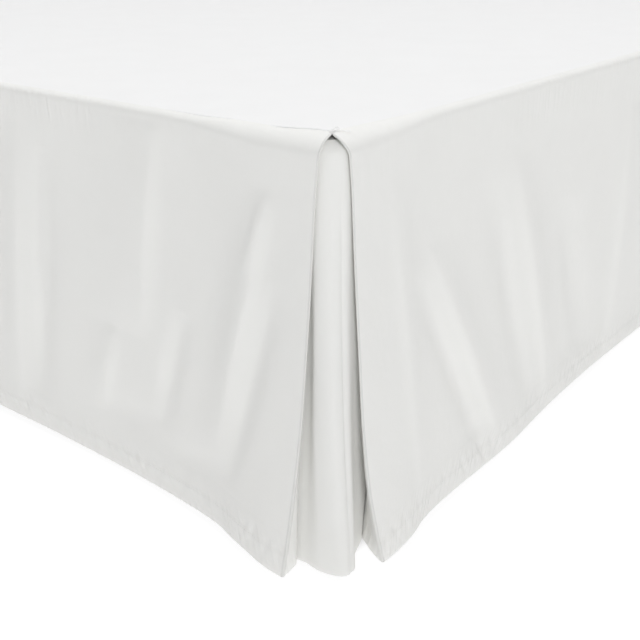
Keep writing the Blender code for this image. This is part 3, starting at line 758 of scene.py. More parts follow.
def deck_points():
    """The deck cloth's middle surface: flat on the base and drawn over its edge to the seam."""
    low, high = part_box("deck")
    half = HALF_WIDTH + ROLL_CENTRE_OUT
    edge = np.concatenate([SEAM_STEPS, DECK_EDGE_STEPS])
    rest = even_stations(edge[-1], DECK_FINE_REACH, DECK_CORNER_STEP)
    middle = even_stations(DECK_FINE_REACH, half, DECK_STEP)
    inwards = np.concatenate([edge, rest, middle])
    across_from_side = np.concatenate([inwards, inwards[-2::-1]])
    side = np.concatenate([np.full(len(inwards) - 1, 1.0), [0.0], np.full(len(inwards) - 1, -1.0)])
    to_head = even_stations(DECK_FINE_REACH, high.y - FOOT_LINE, DECK_STEP)
    back_from_seam = np.concatenate([edge, rest, to_head])
    from_side, from_foot = np.meshgrid(across_from_side, back_from_seam)
    sign = np.broadcast_to(side, from_side.shape)

    along_foot = from_side - ROLL_CENTRE_OUT
    along_side = from_foot - ROLL_CENTRE_OUT
    seam_x = np.radians(read_curve(SIDE_SEAM, "turn", along_side)) * ROLL_MIDDLE
    seam_y = np.radians(read_curve(FOOT_SEAM, "turn", np.minimum(along_foot, HALF_WIDTH))) * ROLL_MIDDLE
    beyond_x = seam_x * (1 - smoothstep(*SEAM_LEAD, from_side)) - from_side
    beyond_y = seam_y * (1 - smoothstep(*SEAM_LEAD, from_foot)) - from_foot
    dip = seam_relief(from_side, read_curve(SIDE_SEAM, "dip", along_side))
    dip = dip + seam_relief(from_foot, read_curve(FOOT_SEAM, "dip", along_foot))
    sag = DECK_SAG * smoothstep(*DECK_SAG_START, np.minimum(from_side, from_foot)) * np.sin(
        from_side * 19.0 + 1.3 * np.sin(from_foot * 11.0)) * np.sin(from_foot * 14.0 + 0.7)

    level = ROLL_CENTRE_HEIGHT + ROLL_MIDDLE
    points = np.stack([half + beyond_x, -ROLL_CENTRE_OUT - beyond_y, level + dip + sag], axis=-1)
    for beyond, axis, seam, along in ((beyond_x, 0, SIDE_SEAM, along_side),
                                      (beyond_y, 1, FOOT_SEAM, along_foot)):
        rolled = beyond > 0
        turn = np.degrees(beyond[rolled] / ROLL_MIDDLE)
        stack = stack_depth(along[rolled])
        square = read_curve(seam, "square", along[rolled])
        out, height = place_on_roll(turn, FACE_OUT + stack + dip[rolled], stack, square)
        points[rolled, axis] = HALF_WIDTH + out if axis == 0 else -out
        points[rolled, 2] = height
    points[..., 0] *= sign
    points[..., 1] += FOOT_LINE
    points[..., 1] = np.minimum(points[..., 1], high.y)
    last = np.searchsorted(points[:, 0, 1], high.y - 1e-6)
    return points[:last + 1]


def make_object(name, mesh, material, body="root"):
    mesh.materials.append(material)
    mesh.shade_smooth()
    made = bpy.data.objects.new(name, mesh)
    bpy.context.scene.collection.objects.link(made)
    if body:
        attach(made, body)
    return made


def mesh_of(name, shape):
    """Turns a bmesh into a mesh, with its faces pointing out."""
    bmesh.ops.recalc_face_normals(shape, faces=shape.faces[:])
    mesh = bpy.data.meshes.new(name)
    shape.to_mesh(mesh)
    shape.free()
    return mesh


def make_sheet(name, points, material, start):
    """A sheet of cloth: a grid moved onto the points, with its cloth measures as its UV map.

    The measures are metres along the cloth, counted from the start column, and down it."""
    rows, columns = points.shape[:2]
    shape = bmesh.new()
    bmesh.ops.create_grid(shape, x_segments=columns - 1, y_segments=rows - 1, size=1)
    mesh = bpy.data.meshes.new(name)
    shape.to_mesh(mesh)
    shape.free()
    mesh.vertices.foreach_set("co", points.reshape(-1))
    middle = points[rows // 2]
    width = np.concatenate([[0], np.cumsum(np.linalg.norm(np.diff(middle, axis=0), axis=1))])
    width -= width[start]
    middle = points[:, columns // 2]
    length = np.concatenate([[0], np.cumsum(np.linalg.norm(np.diff(middle, axis=0), axis=1))])
    measures = np.stack(np.meshgrid(width, -length), axis=-1).reshape(-1, 2)
    corners = np.zeros(len(mesh.loops), int)
    mesh.loops.foreach_get("vertex_index", corners)
    mesh.uv_layers.new(name=MEASURES)
    mesh.uv_layers[0].data.foreach_set("uv", measures[corners].reshape(-1))
    made = make_object(name, mesh, material)
    solid = made.modifiers.new("Cloth thickness", "SOLIDIFY")
    solid.thickness = settings().thickness
    solid.offset = 0.0
    solid.use_even_offset = True
    return made


def lay_sheet(node, points, material, start=0):
    """Makes the sheet that stands for a node, and hides the node's own part."""
    piece = make_sheet(SHEET_NAMES[node], points, material, start)
    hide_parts(node)


def add_thread(shape, points, radius, sides=6):
    """A thread along the points: a ring of vertices at each point, bridged to the next."""
    ring_before = None
    side = Vector((0, 0, 1))
    for place, after in zip(points, points[1:] + [2 * points[-1] - points[-2]]):
        way = (after - place).normalized()
        side = (side - way * side.dot(way)).normalized()
        turned = Matrix((side, way.cross(side), way)).transposed().to_4x4()
        ring = bmesh.ops.create_circle(shape, segments=sides, radius=radius, cap_ends=False,
                                       matrix=Matrix.Translation(place) @ turned)["verts"]
        if ring_before:
            edges = {edge for vert in ring + ring_before for edge in vert.link_edges
                     if not edge.link_faces or len(edge.link_faces) < 2}
            loops = [edge for edge in edges
                     if all(v in ring for v in edge.verts) or all(v in ring_before for v in edge.verts)]
            bmesh.ops.bridge_loops(shape, edges=loops)
        else:
            first = ring
        ring_before = ring
    for ring in (first, ring_before):
        bmesh.ops.contextual_create(shape, geom=ring)


def smooth_thread(points, steps):
    """A smooth line in space through the points."""
    points = [Vector(point) for point in points]
    padded = [points[0]] + points + [points[-1]]
    line = []
    for before, first, second, after in zip(padded, padded[1:], padded[2:], padded[3:]):
        for step in range(steps):
            line.append(blend(first, second, (second - before) / 2, (after - first) / 2, step / steps))
    return line + [points[-1]]


def stitch_mesh(points):
    """One small stitch, copied until there is one for every point, then set along them."""
    shape = bmesh.new()
    stitch = len(bmesh.ops.create_icosphere(shape, subdivisions=1, radius=1.0)["verts"])
    made = 1
    while made < len(points):
        copies = min(made, len(points) - made)
        shape.verts.ensure_lookup_table()
        chosen = set(shape.verts[:copies * stitch])
        bmesh.ops.duplicate(shape, geom=[face for face in shape.faces if face.verts[0] in chosen])
        made += copies
    mesh = bpy.data.meshes.new("hem_stitches")
    shape.to_mesh(mesh)
    shape.free()
    places = np.zeros(3 * len(mesh.vertices))
    mesh.vertices.foreach_get("co", places)
    places = places.reshape(len(points), stitch, 3) * (STITCH_LENGTH / 2, STITCH_RADIUS, STITCH_RADIUS)
    ways = np.gradient(points, axis=0)
    ways /= np.linalg.norm(ways, axis=1, keepdims=True)
    sides = np.cross((0.0, 0.0, 1.0), ways)
    sides /= np.linalg.norm(sides, axis=1, keepdims=True)
    axes = np.stack([ways, sides, np.cross(ways, sides)], axis=1)
    places = points[:, None] + np.einsum("nvk,nkc->nvc", places, axes)
    mesh.vertices.foreach_set("co", places.reshape(-1))
    return mesh


def new_group(name, outputs, **inputs):
    """An empty shader node group with one vector input, named numbers and named outputs."""
    group = bpy.data.node_groups.new(name, "ShaderNodeTree")
    group.interface.new_socket("Vector", in_out="INPUT", socket_type="NodeSocketVector")
    for label, value in inputs.items():
        socket = group.interface.new_socket(label.replace("_", " "), in_out="INPUT",
                                            socket_type="NodeSocketFloat")
        socket.default_value = value
    for label in outputs:
        group.interface.new_socket(label, in_out="OUTPUT", socket_type="NodeSocketFloat")
    start = group.nodes.new("NodeGroupInput")
    end = group.nodes.new("NodeGroupOutput")
    return group, start, end


class Wiring:
    """Short ways to add nodes to one tree."""

    def __init__(self, tree):
        self.tree = tree

    def put(self, socket, value):
        if isinstance(value, bpy.types.NodeSocket):
            self.tree.links.new(value, socket)
        else:
            socket.default_value = value

    def math(self, operation, first, second=0.0):
        made = self.tree.nodes.new("ShaderNodeMath")
        made.operation = operation
        self.put(made.inputs[0], first)
        self.put(made.inputs[1], second)
        return made.outputs[0]

    def parts(self, vector):
        made = self.tree.nodes.new("ShaderNodeSeparateXYZ")
        self.put(made.inputs[0], vector)
        return made.outputs

    def joined(self, across, down):
        made = self.tree.nodes.new("ShaderNodeCombineXYZ")
        self.put(made.inputs[0], across)
        self.put(made.inputs[1], down)
        return made.outputs[0]

    def stretched(self, vector, scale):
        made = self.tree.nodes.new("ShaderNodeMapping")
        self.put(made.inputs["Vector"], vector)
        made.inputs["Scale"].default_value = scale
        return made.outputs[0]

    def noise(self, vector, scale, detail=2.0, roughness=0.5):
        made = self.tree.nodes.new("ShaderNodeTexNoise")
        self.put(made.inputs["Vector"], vector)
        made.inputs["Scale"].default_value = scale
        made.inputs["Detail"].default_value = detail
        made.inputs["Roughness"].default_value = roughness
        return made.outputs[0]

    def spread(self, value, low, high, to_low=0.0, to_high=1.0):
        made = self.tree.nodes.new("ShaderNodeMapRange")
        self.put(made.inputs["Value"], value)
        for label, number in (("From Min", low), ("From Max", high), ("To Min", to_low), ("To Max", to_high)):
            made.inputs[label].default_value = number
        return made.outputs[0]

    def mix(self, share, first, second):
        made = self.tree.nodes.new("ShaderNodeMix")
        made.data_type = "RGBA"
        self.put(made.inputs[0], share)
        self.put(made.inputs[6], first)
        self.put(made.inputs[7], second)
        return made.outputs[2]

    def bump(self, height, distance, strength, below=None):
        made = self.tree.nodes.new("ShaderNodeBump")
        made.inputs["Distance"].default_value = distance
        made.inputs["Strength"].default_value = strength
        self.put(made.inputs["Height"], height)
        if below:
            self.put(made.inputs["Normal"], below)
        return made.outputs[0]

    def measures(self):
        made = self.tree.nodes.new("ShaderNodeUVMap")
        made.uv_map = MEASURES
        return made.outputs[0]

    def object_place(self):
        return self.tree.nodes.new("ShaderNodeTexCoord").outputs["Object"]

    def group(self, group, vector, **values):
        made = self.tree.nodes.new("ShaderNodeGroup")
        made.node_tree = group
        self.put(made.inputs["Vector"], vector)
        for label, value in values.items():
            made.inputs[label.replace("_", " ")].default_value = value
        return made.outputs


def weave_group():
    """Plain weave: each thread goes over and under the ones that cross it."""
    if "Plain weave" in bpy.data.node_groups:
        return bpy.data.node_groups["Plain weave"]
    group, start, end = new_group("Plain weave", ("Height", "Tone"), Threads_per_metre=THREADS_PER_METRE)
    wire = Wiring(group)
    across, down, _ = wire.parts(start.outputs["Vector"])
    wander = wire.noise(start.outputs["Vector"], 90.0)
    turns = []
    for way in (across, down):
        shifted = wire.math("ADD", way, wire.math("MULTIPLY", wander, 0.0012))
        threads = wire.math("MULTIPLY", shifted, start.outputs["Threads per metre"])
        turns.append(wire.math("SINE", wire.math("MULTIPLY", threads, math.pi)))
    weave = wire.math("MULTIPLY", turns[0], turns[1])
    thick = wire.noise(wire.stretched(start.outputs["Vector"], (1100.0, 45.0, 1.0)), 1.0)
    thin = wire.noise(wire.stretched(start.outputs["Vector"], (45.0, 1100.0, 1.0)), 1.0)
    slub = wire.math("ADD", wire.math("MULTIPLY", thick, 0.5), wire.math("MULTIPLY", thin, 0.5))
    height = wire.math("ADD", wire.spread(weave, -1.0, 1.0, 0.0, 0.7), wire.math("MULTIPLY", slub, 0.5))
    group.links.new(height, end.inputs["Height"])
    group.links.new(wire.spread(slub, 0.30, 0.70), end.inputs["Tone"])
    return group


def cloud_group():
    """Broad uneven tone, for wear, brushing and soft dents."""
    if "Soft clouds" in bpy.data.node_groups:
        return bpy.data.node_groups["Soft clouds"]
    group, start, end = new_group("Soft clouds", ("Clouds",), Size=0.05)
    wire = Wiring(group)
    near = wire.tree.nodes.new("ShaderNodeVectorMath")
    near.operation = "DIVIDE"
    wire.put(near.inputs[0], start.outputs["Vector"])
    wire.put(near.inputs[1], start.outputs["Size"])
    clouds = wire.noise(near.outputs[0], 1.0, detail=3.0, roughness=0.55)
    group.links.new(wire.spread(clouds, 0.30, 0.70), end.inputs["Clouds"])
    return group


def shaded(colour, factor):
    """The colour, lighter or darker, with full opacity."""
    return (*(part * factor for part in colour), 1.0)


def new_material(name):
    """A material with its wiring and the inputs of its shader."""
    material = bpy.data.materials.new(name)
    material.use_nodes = True
    return Wiring(material.node_tree), material.node_tree.nodes["Principled BSDF"].inputs, material


def cloth_material(name, colour, low_painted_shade=1.0, gathered_with_painted_crease_shade=False, painted_shadow_at_start=False):
    """Brushed white cloth: fine weave, soft tone, a little sheen, light passing through, and painted shade
    where asked for.
    """
    wire, shader, material = new_material(name)
    vector = wire.measures()
    weave = wire.group(weave_group(), vector)
    broad = wire.group(cloud_group(), vector, Size=0.055)[0]
    fine = wire.group(cloud_group(), vector, Size=0.009)[0]
    tone = wire.math("ADD", wire.math("MULTIPLY", broad, 0.55), wire.math("MULTIPLY", weave["Tone"], 0.45))
    plain = wire.mix(tone, shaded(colour, 0.982), shaded(colour, 1.006))
    across, down, _ = wire.parts(vector)
    # Painted shade: the colour is painted darker towards the hem, standing in for the shade that falls low on
    # the cloth.
    if low_painted_shade < 1:
        plain = wire.mix(wire.spread(down, -0.06, -0.36), plain, shaded(colour, low_painted_shade))
    # Painted shadow: the insert's top, tucked under the joined folded edges, is painted dark as the shadow
    # that falls there.
    if painted_shadow_at_start:
        plain = wire.mix(wire.spread(down, -0.0046, -0.0036), plain, shaded(colour, INSERT_TOP_PAINTED_SHADOW))
    if gathered_with_painted_crease_shade:
        # Painted shade: the colour is painted darker along each pressed folded edge, where shade falls in the
        # crease.
        painted_crease_shade = wire.spread(wire.math("ABSOLUTE", across), 0.0024, 0.0010)
        plain = wire.mix(painted_crease_shade, plain, shaded(colour, FOLDED_EDGE_PAINTED_SHADE))
    wire.put(shader["Base Color"], plain)
    wire.put(shader["Roughness"], wire.spread(fine, 0.0, 1.0, 0.80, 0.90))
    normal = wire.bump(weave["Height"], 0.00006, 0.45)
    normal = wire.bump(fine, 0.00045, 0.14, normal)
    normal = wire.bump(broad, 0.0016, 0.25 if gathered_with_painted_crease_shade else 0.10, normal)
    if gathered_with_painted_crease_shade:
        streaks = wire.noise(wire.stretched(vector, (210.0, 13.0, 1.0)), 1.0, detail=1.0)
        near_seam = wire.spread(down, -0.055, -0.016)
        tight = wire.spread(across, GATHER_START, GATHER_FULL, 0.25, 1.0)
        pull = wire.math("MULTIPLY", wire.math("MULTIPLY", streaks, near_seam), tight)
        normal = wire.bump(pull, 0.0022, 0.60, normal)
        slanted = wire.joined(wire.math("ADD", across, wire.math("MULTIPLY", down, -0.45)), down)
        puckers = wire.noise(wire.stretched(slanted, (150.0, 16.0, 1.0)), 1.0, detail=1.0)
        near_hem = wire.spread(down, -0.335, -0.358)
        normal = wire.bump(wire.math("MULTIPLY", puckers, near_hem), 0.0030, 0.7, normal)
    wire.put(shader["Normal"], normal)
    shader["Specular IOR Level"].default_value = 0.22
    shader["Sheen Weight"].default_value = 0.10
    shader["Sheen Roughness"].default_value = 0.5
    shader["Subsurface Weight"].default_value = settings().light_through
    shader["Subsurface Radius"].default_value = (1.0, 0.95, 0.9)
    shader["Subsurface Scale"].default_value = 0.004
    return material


def thread_material(name, colour):
    wire, shader, material = new_material(name)
    place = wire.object_place()
    twist = wire.noise(place, 2600.0)
    wire.put(shader["Base Color"], wire.mix(twist, shaded(colour, 0.94), shaded(colour, 1.02)))
    wire.put(shader["Roughness"], wire.spread(twist, 0.3, 0.7, 0.55, 0.75))
    wire.put(shader["Normal"], wire.bump(twist, 0.00008, 0.5))
    shader["Sheen Weight"].default_value = 0.3
    return material


def ticking_material(name, colour):
    """Light grey ticking: a herringbone twill under soft handling marks."""
    wire, shader, material = new_material(name)
    place = wire.object_place()
    across, back, height = wire.parts(place)
    zigzag = wire.math("PINGPONG", wire.math("ADD", across, back), 0.012)
    slant = wire.math("ADD", wire.math("ADD", height, zigzag), wire.math("MULTIPLY", back, 0.35))
    twill = wire.math("SINE", wire.math("MULTIPLY", slant, 2 * math.pi / 0.0022))
    threads = wire.noise(place, 1400.0)
    broad = wire.group(cloud_group(), place, Size=0.11)[0]
    share = wire.math("ADD", wire.spread(twill, -1.0, 1.0, 0.0, 0.5), wire.math("MULTIPLY", broad, 0.5))
    wire.put(shader["Base Color"], wire.mix(share, shaded(colour, 0.84), shaded(colour, 1.05)))
    wire.put(shader["Roughness"], wire.spread(broad, 0.0, 1.0, 0.74, 0.88))
    normal = wire.bump(twill, 0.00012, 0.5)
    normal = wire.bump(threads, 0.0002, 0.35, normal)
    wire.put(shader["Normal"], wire.bump(broad, 0.002, 0.3, normal))
    shader["Specular IOR Level"].default_value = 0.25
    shader["Sheen Weight"].default_value = 0.15
    return material


def leg_material(name, colour):
    """Black moulded plastic, a little scuffed and dusty near the floor."""
    wire, shader, material = new_material(name)
    place = wire.object_place()
    height = wire.parts(place)[2]
    grain = wire.noise(place, 900.0)
    broad = wire.group(cloud_group(), place, Size=0.02)[0]
    dust = wire.math("MULTIPLY", wire.spread(height, 0.045, 0.0), broad)
    wire.put(shader["Base Color"], wire.mix(dust, (*colour, 1.0), (0.16, 0.155, 0.15, 1.0)))
    wire.put(shader["Roughness"], wire.spread(wire.math("ADD", broad, dust), 0.0, 1.6, 0.34, 0.62))
    wire.put(shader["Normal"], wire.bump(grain, 0.0001, 0.3))
    shader["Specular IOR Level"].default_value = 0.45
    return material


def tack_routes():
    """The tack's threads as across, back and height from the box's corner."""
    crown = ROLL_CENTRE_HEIGHT + ROLL_MIDDLE + 0.0004
    routes = []
    for share in TACK_BARS:
        across = -0.0112 + 0.0058 * share
        back = 0.0170 - 0.0094 * share
        level = crown - 0.0016 * max(share - 0.5, 0)
        lean = 0.0006 * math.sin(7 * share)
        routes.append([
            (across - 0.0026, back - 0.0019 + lean, level - 0.0004),
            (across - 0.0014, back - 0.0010 + lean, level + 0.0007),
            (across, back, level + 0.0010),
            (across + 0.0015, back + 0.0011 - lean, level + 0.0006),
            (across + 0.0027, back + 0.0020 - lean, level - 0.0004),
        ])
    routes.append([
        (-0.0112, 0.0172, crown + 0.0004), (-0.0122, 0.0190, crown + 0.0016),
        (-0.0106, 0.0208, crown + 0.0022), (-0.0086, 0.0200, crown + 0.0018),
        (-0.0086, 0.0180, crown + 0.0012), (-0.0104, 0.0168, crown + 0.0012),
        (-0.0126, 0.0172, crown + 0.0006), (-0.0140, 0.0190, crown + 0.0003),
    ])
    routes.append([
        (-0.0100, 0.0160, crown + 0.0006), (-0.0080, 0.0172, crown + 0.0014),
        (-0.0058, 0.0178, crown + 0.0015), (-0.0044, 0.0194, crown + 0.0010),
        (-0.0022, 0.0206, crown + 0.0006), (0.0000, 0.0232, crown + 0.0002),
    ])
    routes.append([
        (-0.0104, 0.0164, crown + 0.0004), (-0.0090, 0.0150, crown + 0.0014),
        (-0.0070, 0.0146, crown + 0.0014), (-0.0060, 0.0160, crown + 0.0010),
        (-0.0074, 0.0170, crown + 0.0010), (-0.0094, 0.0162, crown + 0.0006),
    ])
    return routes


def box_mesh():
    """The box spring's cover, pressed in a little where the skirt's seams lie on it."""
    shape = bmesh.new()
    size = BOX_HIGH - BOX_LOW
    middle = (BOX_HIGH + BOX_LOW) / 2
    bmesh.ops.create_cube(shape, size=1.0, matrix=Matrix.Translation(middle) @ Matrix.Diagonal((*size, 1.0)))
    upright = [edge for edge in shape.edges if abs(edge.verts[0].co.z - edge.verts[1].co.z) > size.z / 2]
    bmesh.ops.bevel(shape, geom=upright, offset=BOX_CORNER_RADIUS, segments=10, profile=0.5,
                    affect="EDGES", material=-1)
    for level, radius, steps in ((BOX_HIGH.z, BOX_EDGE_RADIUS, 8), (BOX_LOW.z, BOX_LOWER_EDGE_RADIUS, 4)):
        rim = [edge for edge in shape.edges if all(abs(vert.co.z - level) < 1e-5 for vert in edge.verts)]
        bmesh.ops.bevel(shape, geom=rim, offset=radius, segments=steps, profile=0.5,
                        affect="EDGES", material=-1)
    for axis, step in ((0, 0.045), (1, 0.045), (2, 0.030)):
        way = Vector((axis == 0, axis == 1, axis == 2))
        for share in even_stations(0.0, 1.0, step / size[axis])[:-1]:
            cut = BOX_LOW + way * size[axis] * float(share)
            bmesh.ops.bisect_plane(shape, geom=shape.verts[:] + shape.edges[:] + shape.faces[:],
                                   plane_co=cut, plane_no=way)
    for vert in shape.verts:
        place = vert.co
        from_head = BOX_HIGH.y - place.y
        pressed = BOX_PRESSED * float(smoothstep(0.03, 0.16, from_head))
        high = float(smoothstep(BOX_HIGH.z - 0.060, BOX_HIGH.z, place.z))
        inward = float(smoothstep(0.0, 0.05, HALF_WIDTH - abs(place.x)))
        rise = (place.z - BOX_LOW.z) / size.z
        crown = HEAD_CROWN * math.sin(math.pi * min(max(rise, 0), 1)) * inward
        place.z -= pressed * high
        if from_head < 1e-4:
            place.y += crown
    for level in (BOX_LOW.z + PIPING_RADIUS * 1.6, BOX_HIGH.z - BOX_EDGE_RADIUS - PIPING_RADIUS):
        half = HALF_WIDTH - BOX_CORNER_RADIUS
        line = [Vector((half * share, BOX_HIGH.y + PIPING_RADIUS * 0.35, level))
                for share in np.linspace(-1, 1, 60)]
        add_thread(shape, line, PIPING_RADIUS, sides=10)
    return mesh_of("box_spring", shape)


def leg_mesh(low, high):
    """A turned leg with a glide under it and a collar at the top."""
    middle = (low + high) / 2
    radius = (high.x - low.x) / 2
    height = high.z - low.z
    outline = [
        (0.0, 0.0), (0.62 * radius, 0.0), (0.70 * radius, 0.0012), (0.72 * radius, 0.0035),
        (0.72 * radius, 0.0060), (0.77 * radius, 0.0066), (0.79 * radius, 0.0090),
        (0.82 * radius, 0.35 * height), (0.90 * radius, 0.74 * height),
        (0.92 * radius, height - 0.0150), (0.94 * radius, height - 0.0128),
        (0.99 * radius, height - 0.0118), (radius, height - 0.0100), (radius, height - 0.0022),
        (0.985 * radius, height - 0.0006), (0.96 * radius, height), (0.0, height),
    ]
    shape = bmesh.new()
    verts = [shape.verts.new((middle.x + out, middle.y, low.z + up)) for out, up in outline]
    edges = [shape.edges.new(pair) for pair in zip(verts, verts[1:])]
    bmesh.ops.spin(shape, geom=verts + edges, cent=(middle.x, middle.y, 0), axis=(0, 0, 1),
                   angle=2 * math.pi, steps=LEG_STEPS, use_merge=True)
    bmesh.ops.remove_doubles(shape, verts=shape.verts[:], dist=1e-5)
    mesh = mesh_of("leg", shape)
    mesh.shade_smooth()
    mesh.set_sharp_from_angle(angle=math.radians(40))
    return mesh


class BedSkirtSettings(bpy.types.PropertyGroup):
    """Sizes and colours that a user would change."""

    thickness: FloatProperty(
        name="Cloth thickness", description="How thick one layer of the cloth is",
        default=0.0005, min=0.0003, max=0.0012, unit="LENGTH",
    )
    cloth_colour: FloatVectorProperty(
        name="Panel colour", description="Colour of the hanging panels and the pleats",
        default=(0.838, 0.834, 0.809), size=3, min=0.0, max=1.0, subtype="COLOR",
    )
    deck_colour: FloatVectorProperty(
        name="Deck colour", description="Colour of the deck cloth",
        default=(0.852, 0.849, 0.847), size=3, min=0.0, max=1.0, subtype="COLOR",
    )
    ticking_colour: FloatVectorProperty(
        name="Ticking colour", description="Colour of the box spring's cover",
        default=(0.60, 0.585, 0.56), size=3, min=0.0, max=1.0, subtype="COLOR",
    )
    leg_colour: FloatVectorProperty(
        name="Leg colour", description="Colour of the legs",
        default=(0.022, 0.022, 0.023), size=3, min=0.0, max=1.0, subtype="COLOR",
    )
    light_through: FloatProperty(
        name="Light in the cloth", description="How much light spreads inside the cloth",
        default=0.28, min=0.0, max=1.0, subtype="FACTOR",
    )


def settings():
    return bpy.context.scene.bed_skirt


class BEDSKIRT_OT_deck(bpy.types.Operator):
    """Makes the deck cloth that lies on the base"""

    bl_idname = "bedskirt.deck"
    bl_label = "Deck cloth"

    def execute(self, context):
        material = cloth_material("Deck cloth", settings().deck_colour)
        lay_sheet("deck", deck_points(), material)
        return {"FINISHED"}


def foot_panel():
    return Panel(BED_WIDTH, FOOT_HEM, FOOT_FOLDS, FOOT_HOLLOWS, FOOT_PLEAT, FOOT_ROLL_EDGE,
                 FOOT_SEAM, True, 11, 1.0)


def side_panel(side):
    folds = SIDE_FOLDS_RIGHT if side == "right" else SIDE_FOLDS_LEFT
    seed = 23 if side == "right" else 37
    return Panel(BED_LENGTH, SIDE_HEM, folds, SIDE_HOLLOWS, SIDE_PLEAT, SIDE_ROLL_EDGE,
                 SIDE_SEAM, False, seed, 0.3)


class BEDSKIRT_OT_panels(bpy.types.Operator):
    """Makes the three drop panels"""

    bl_idname = "bedskirt.panels"
    bl_label = "Drop panels"

    def execute(self, context):
        material = cloth_material("Panel cloth", settings().cloth_colour, PANEL_LOW_PAINTED_SHADE, gathered_with_painted_crease_shade=True)
        rows = rows_down(FACE_STEP)
        stations = fine_then_coarse(COLUMN_FINE, FOOT_FINE_REACH, BED_WIDTH - CORNER_REACH)[:-1]
        layout = Layout(STRIP_COLUMNS, CORNER_COLUMNS, stations, FAR_STRIP_COLUMNS, FAR_CORNER_COLUMNS)
        points = on_foot(panel_points(foot_panel(), rows, layout))
        lay_sheet("foot_panel", points, material, start=FOLD_MIDDLE)

        for side, place in both_sides(on_right_side):
            stations = fine_then_coarse(SIDE_COLUMNS[side], SIDE_FINE_REACH, SIDE_END)
            layout = Layout(STRIP_COLUMNS, CORNER_COLUMNS, stations, 0, 0)
            points = place(panel_points(side_panel(side), rows, layout))
            lay_sheet(f"side_panel_{side}", points, material, start=FOLD_MIDDLE)
        return {"FINISHED"}


class BEDSKIRT_OT_pleats(bpy.types.Operator):
    """Makes the inserts of the two corner pleats"""

    bl_idname = "bedskirt.pleats"
    bl_label = "Corner pleat inserts"

    def execute(self, context):
        material = cloth_material("Pleat cloth", settings().cloth_colour, PLEAT_LOW_PAINTED_SHADE, painted_shadow_at_start=True)
        points = insert_points(rows_down(INSERT_ROW_STEP), INSERT_COLUMNS)
        for side, place in both_sides(at_right_corner):
            lay_sheet(f"corner_pleat_{side}", place(points), material)
        return {"FINISHED"}


class BEDSKIRT_OT_stitches(bpy.types.Operator):
    """Makes the hem stitches of the three panels"""

    bl_idname = "bedskirt.stitches"
    bl_label = "Hem stitches"

    def execute(self, context):
        material = thread_material("Sewing thread", settings().cloth_colour)
        hems = [("foot", foot_panel(), on_foot, BED_WIDTH - STITCH_START)]
        hems += [(side, side_panel(side), place, SIDE_END - STITCH_END_INSET)
                 for side, place in both_sides(on_right_side)]
        for name, panel, place, end in hems:
            along = even_stations(STITCH_START, end, STITCH_PITCH)
            top = face_height(along, 0.0, panel.stack(along))
            hem = hem_height(along)
            drop = (top - hem - STITCH_HEIGHT) / (top - hem)
            out = panel.front_out(along, drop) + settings().thickness / 2 + STITCH_SUNK
            points = place(np.stack([along, out, hem + STITCH_HEIGHT], axis=1))
            piece = make_object(f"hem_stitches_{name}", stitch_mesh(points), material)
        return {"FINISHED"}


class BEDSKIRT_OT_tack(bpy.types.Operator):
    """Makes the thread tack that joins the folded edges at each foot corner"""

    bl_idname = "bedskirt.tack"
    bl_label = "Corner tacks"

    def execute(self, context):
        material = thread_material("Tack thread", settings().deck_colour)
        for side, place in both_sides(at_right_corner):
            shape = bmesh.new()
            for route in tack_routes():
                line = smooth_thread(place(np.array(route)), TACK_STEPS)
                add_thread(shape, line, TACK_THREAD_RADIUS)
            piece = make_object(f"corner_tack_{side}", mesh_of(f"corner_tack_{side}", shape), material)
        return {"FINISHED"}


class BEDSKIRT_OT_base(bpy.types.Operator):
    """Makes the box spring's cover and its legs"""

    bl_idname = "bedskirt.base"
    bl_label = "Box spring and legs"

    def execute(self, context):
        piece = make_object("box_spring", box_mesh(), ticking_material("Ticking", settings().ticking_colour))
        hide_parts("base_box")
        material = leg_material("Leg plastic", settings().leg_colour)
        for node in sorted(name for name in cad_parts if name.startswith("leg_")):
            low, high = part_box(node)
            piece = make_object(f"turned_{node}", leg_mesh(low, high), material)
            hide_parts(node)
        return {"FINISHED"}


CAMERA_YAW = math.radians(39.54)
CAMERA_PITCH = math.radians(23.71)
CAMERA_ROLL = math.radians(0.61)
CAMERA_FOCAL_PIXELS = 902.2
CAMERA_HEIGHT = 0.5174
CAMERA_ACROSS = -0.0096
CAMERA_BACK = 0.6261
CORNER_POST = 0.0037
PICTURE_WIDTH = 640
SENSOR_WIDTH = 36.0

# The studio: a sun from nearly overhead and a soft box beyond the foot of the bed, both
# aimed at the photographed corner.
Lamp = namedtuple("Lamp", "name kind place size power")
LAMPS = (
    Lamp("top_light", "SUN", (-0.25, 0.09, 4.7), math.radians(16), 2.10),
    Lamp("key_softbox", "AREA", (5.58, -5.17, 3.2), 1.8, 184.0),
)
LAMP_AIM = (0.70, -0.95, 0.20)
WORLD_STRENGTH = 0.37
FLOOR_GLOW = 0.88
UNLIT_INSET = 0.03
FLOOR_HALF_SIZE = 20
FLOOR_GREYS = (0.245, 0.255)


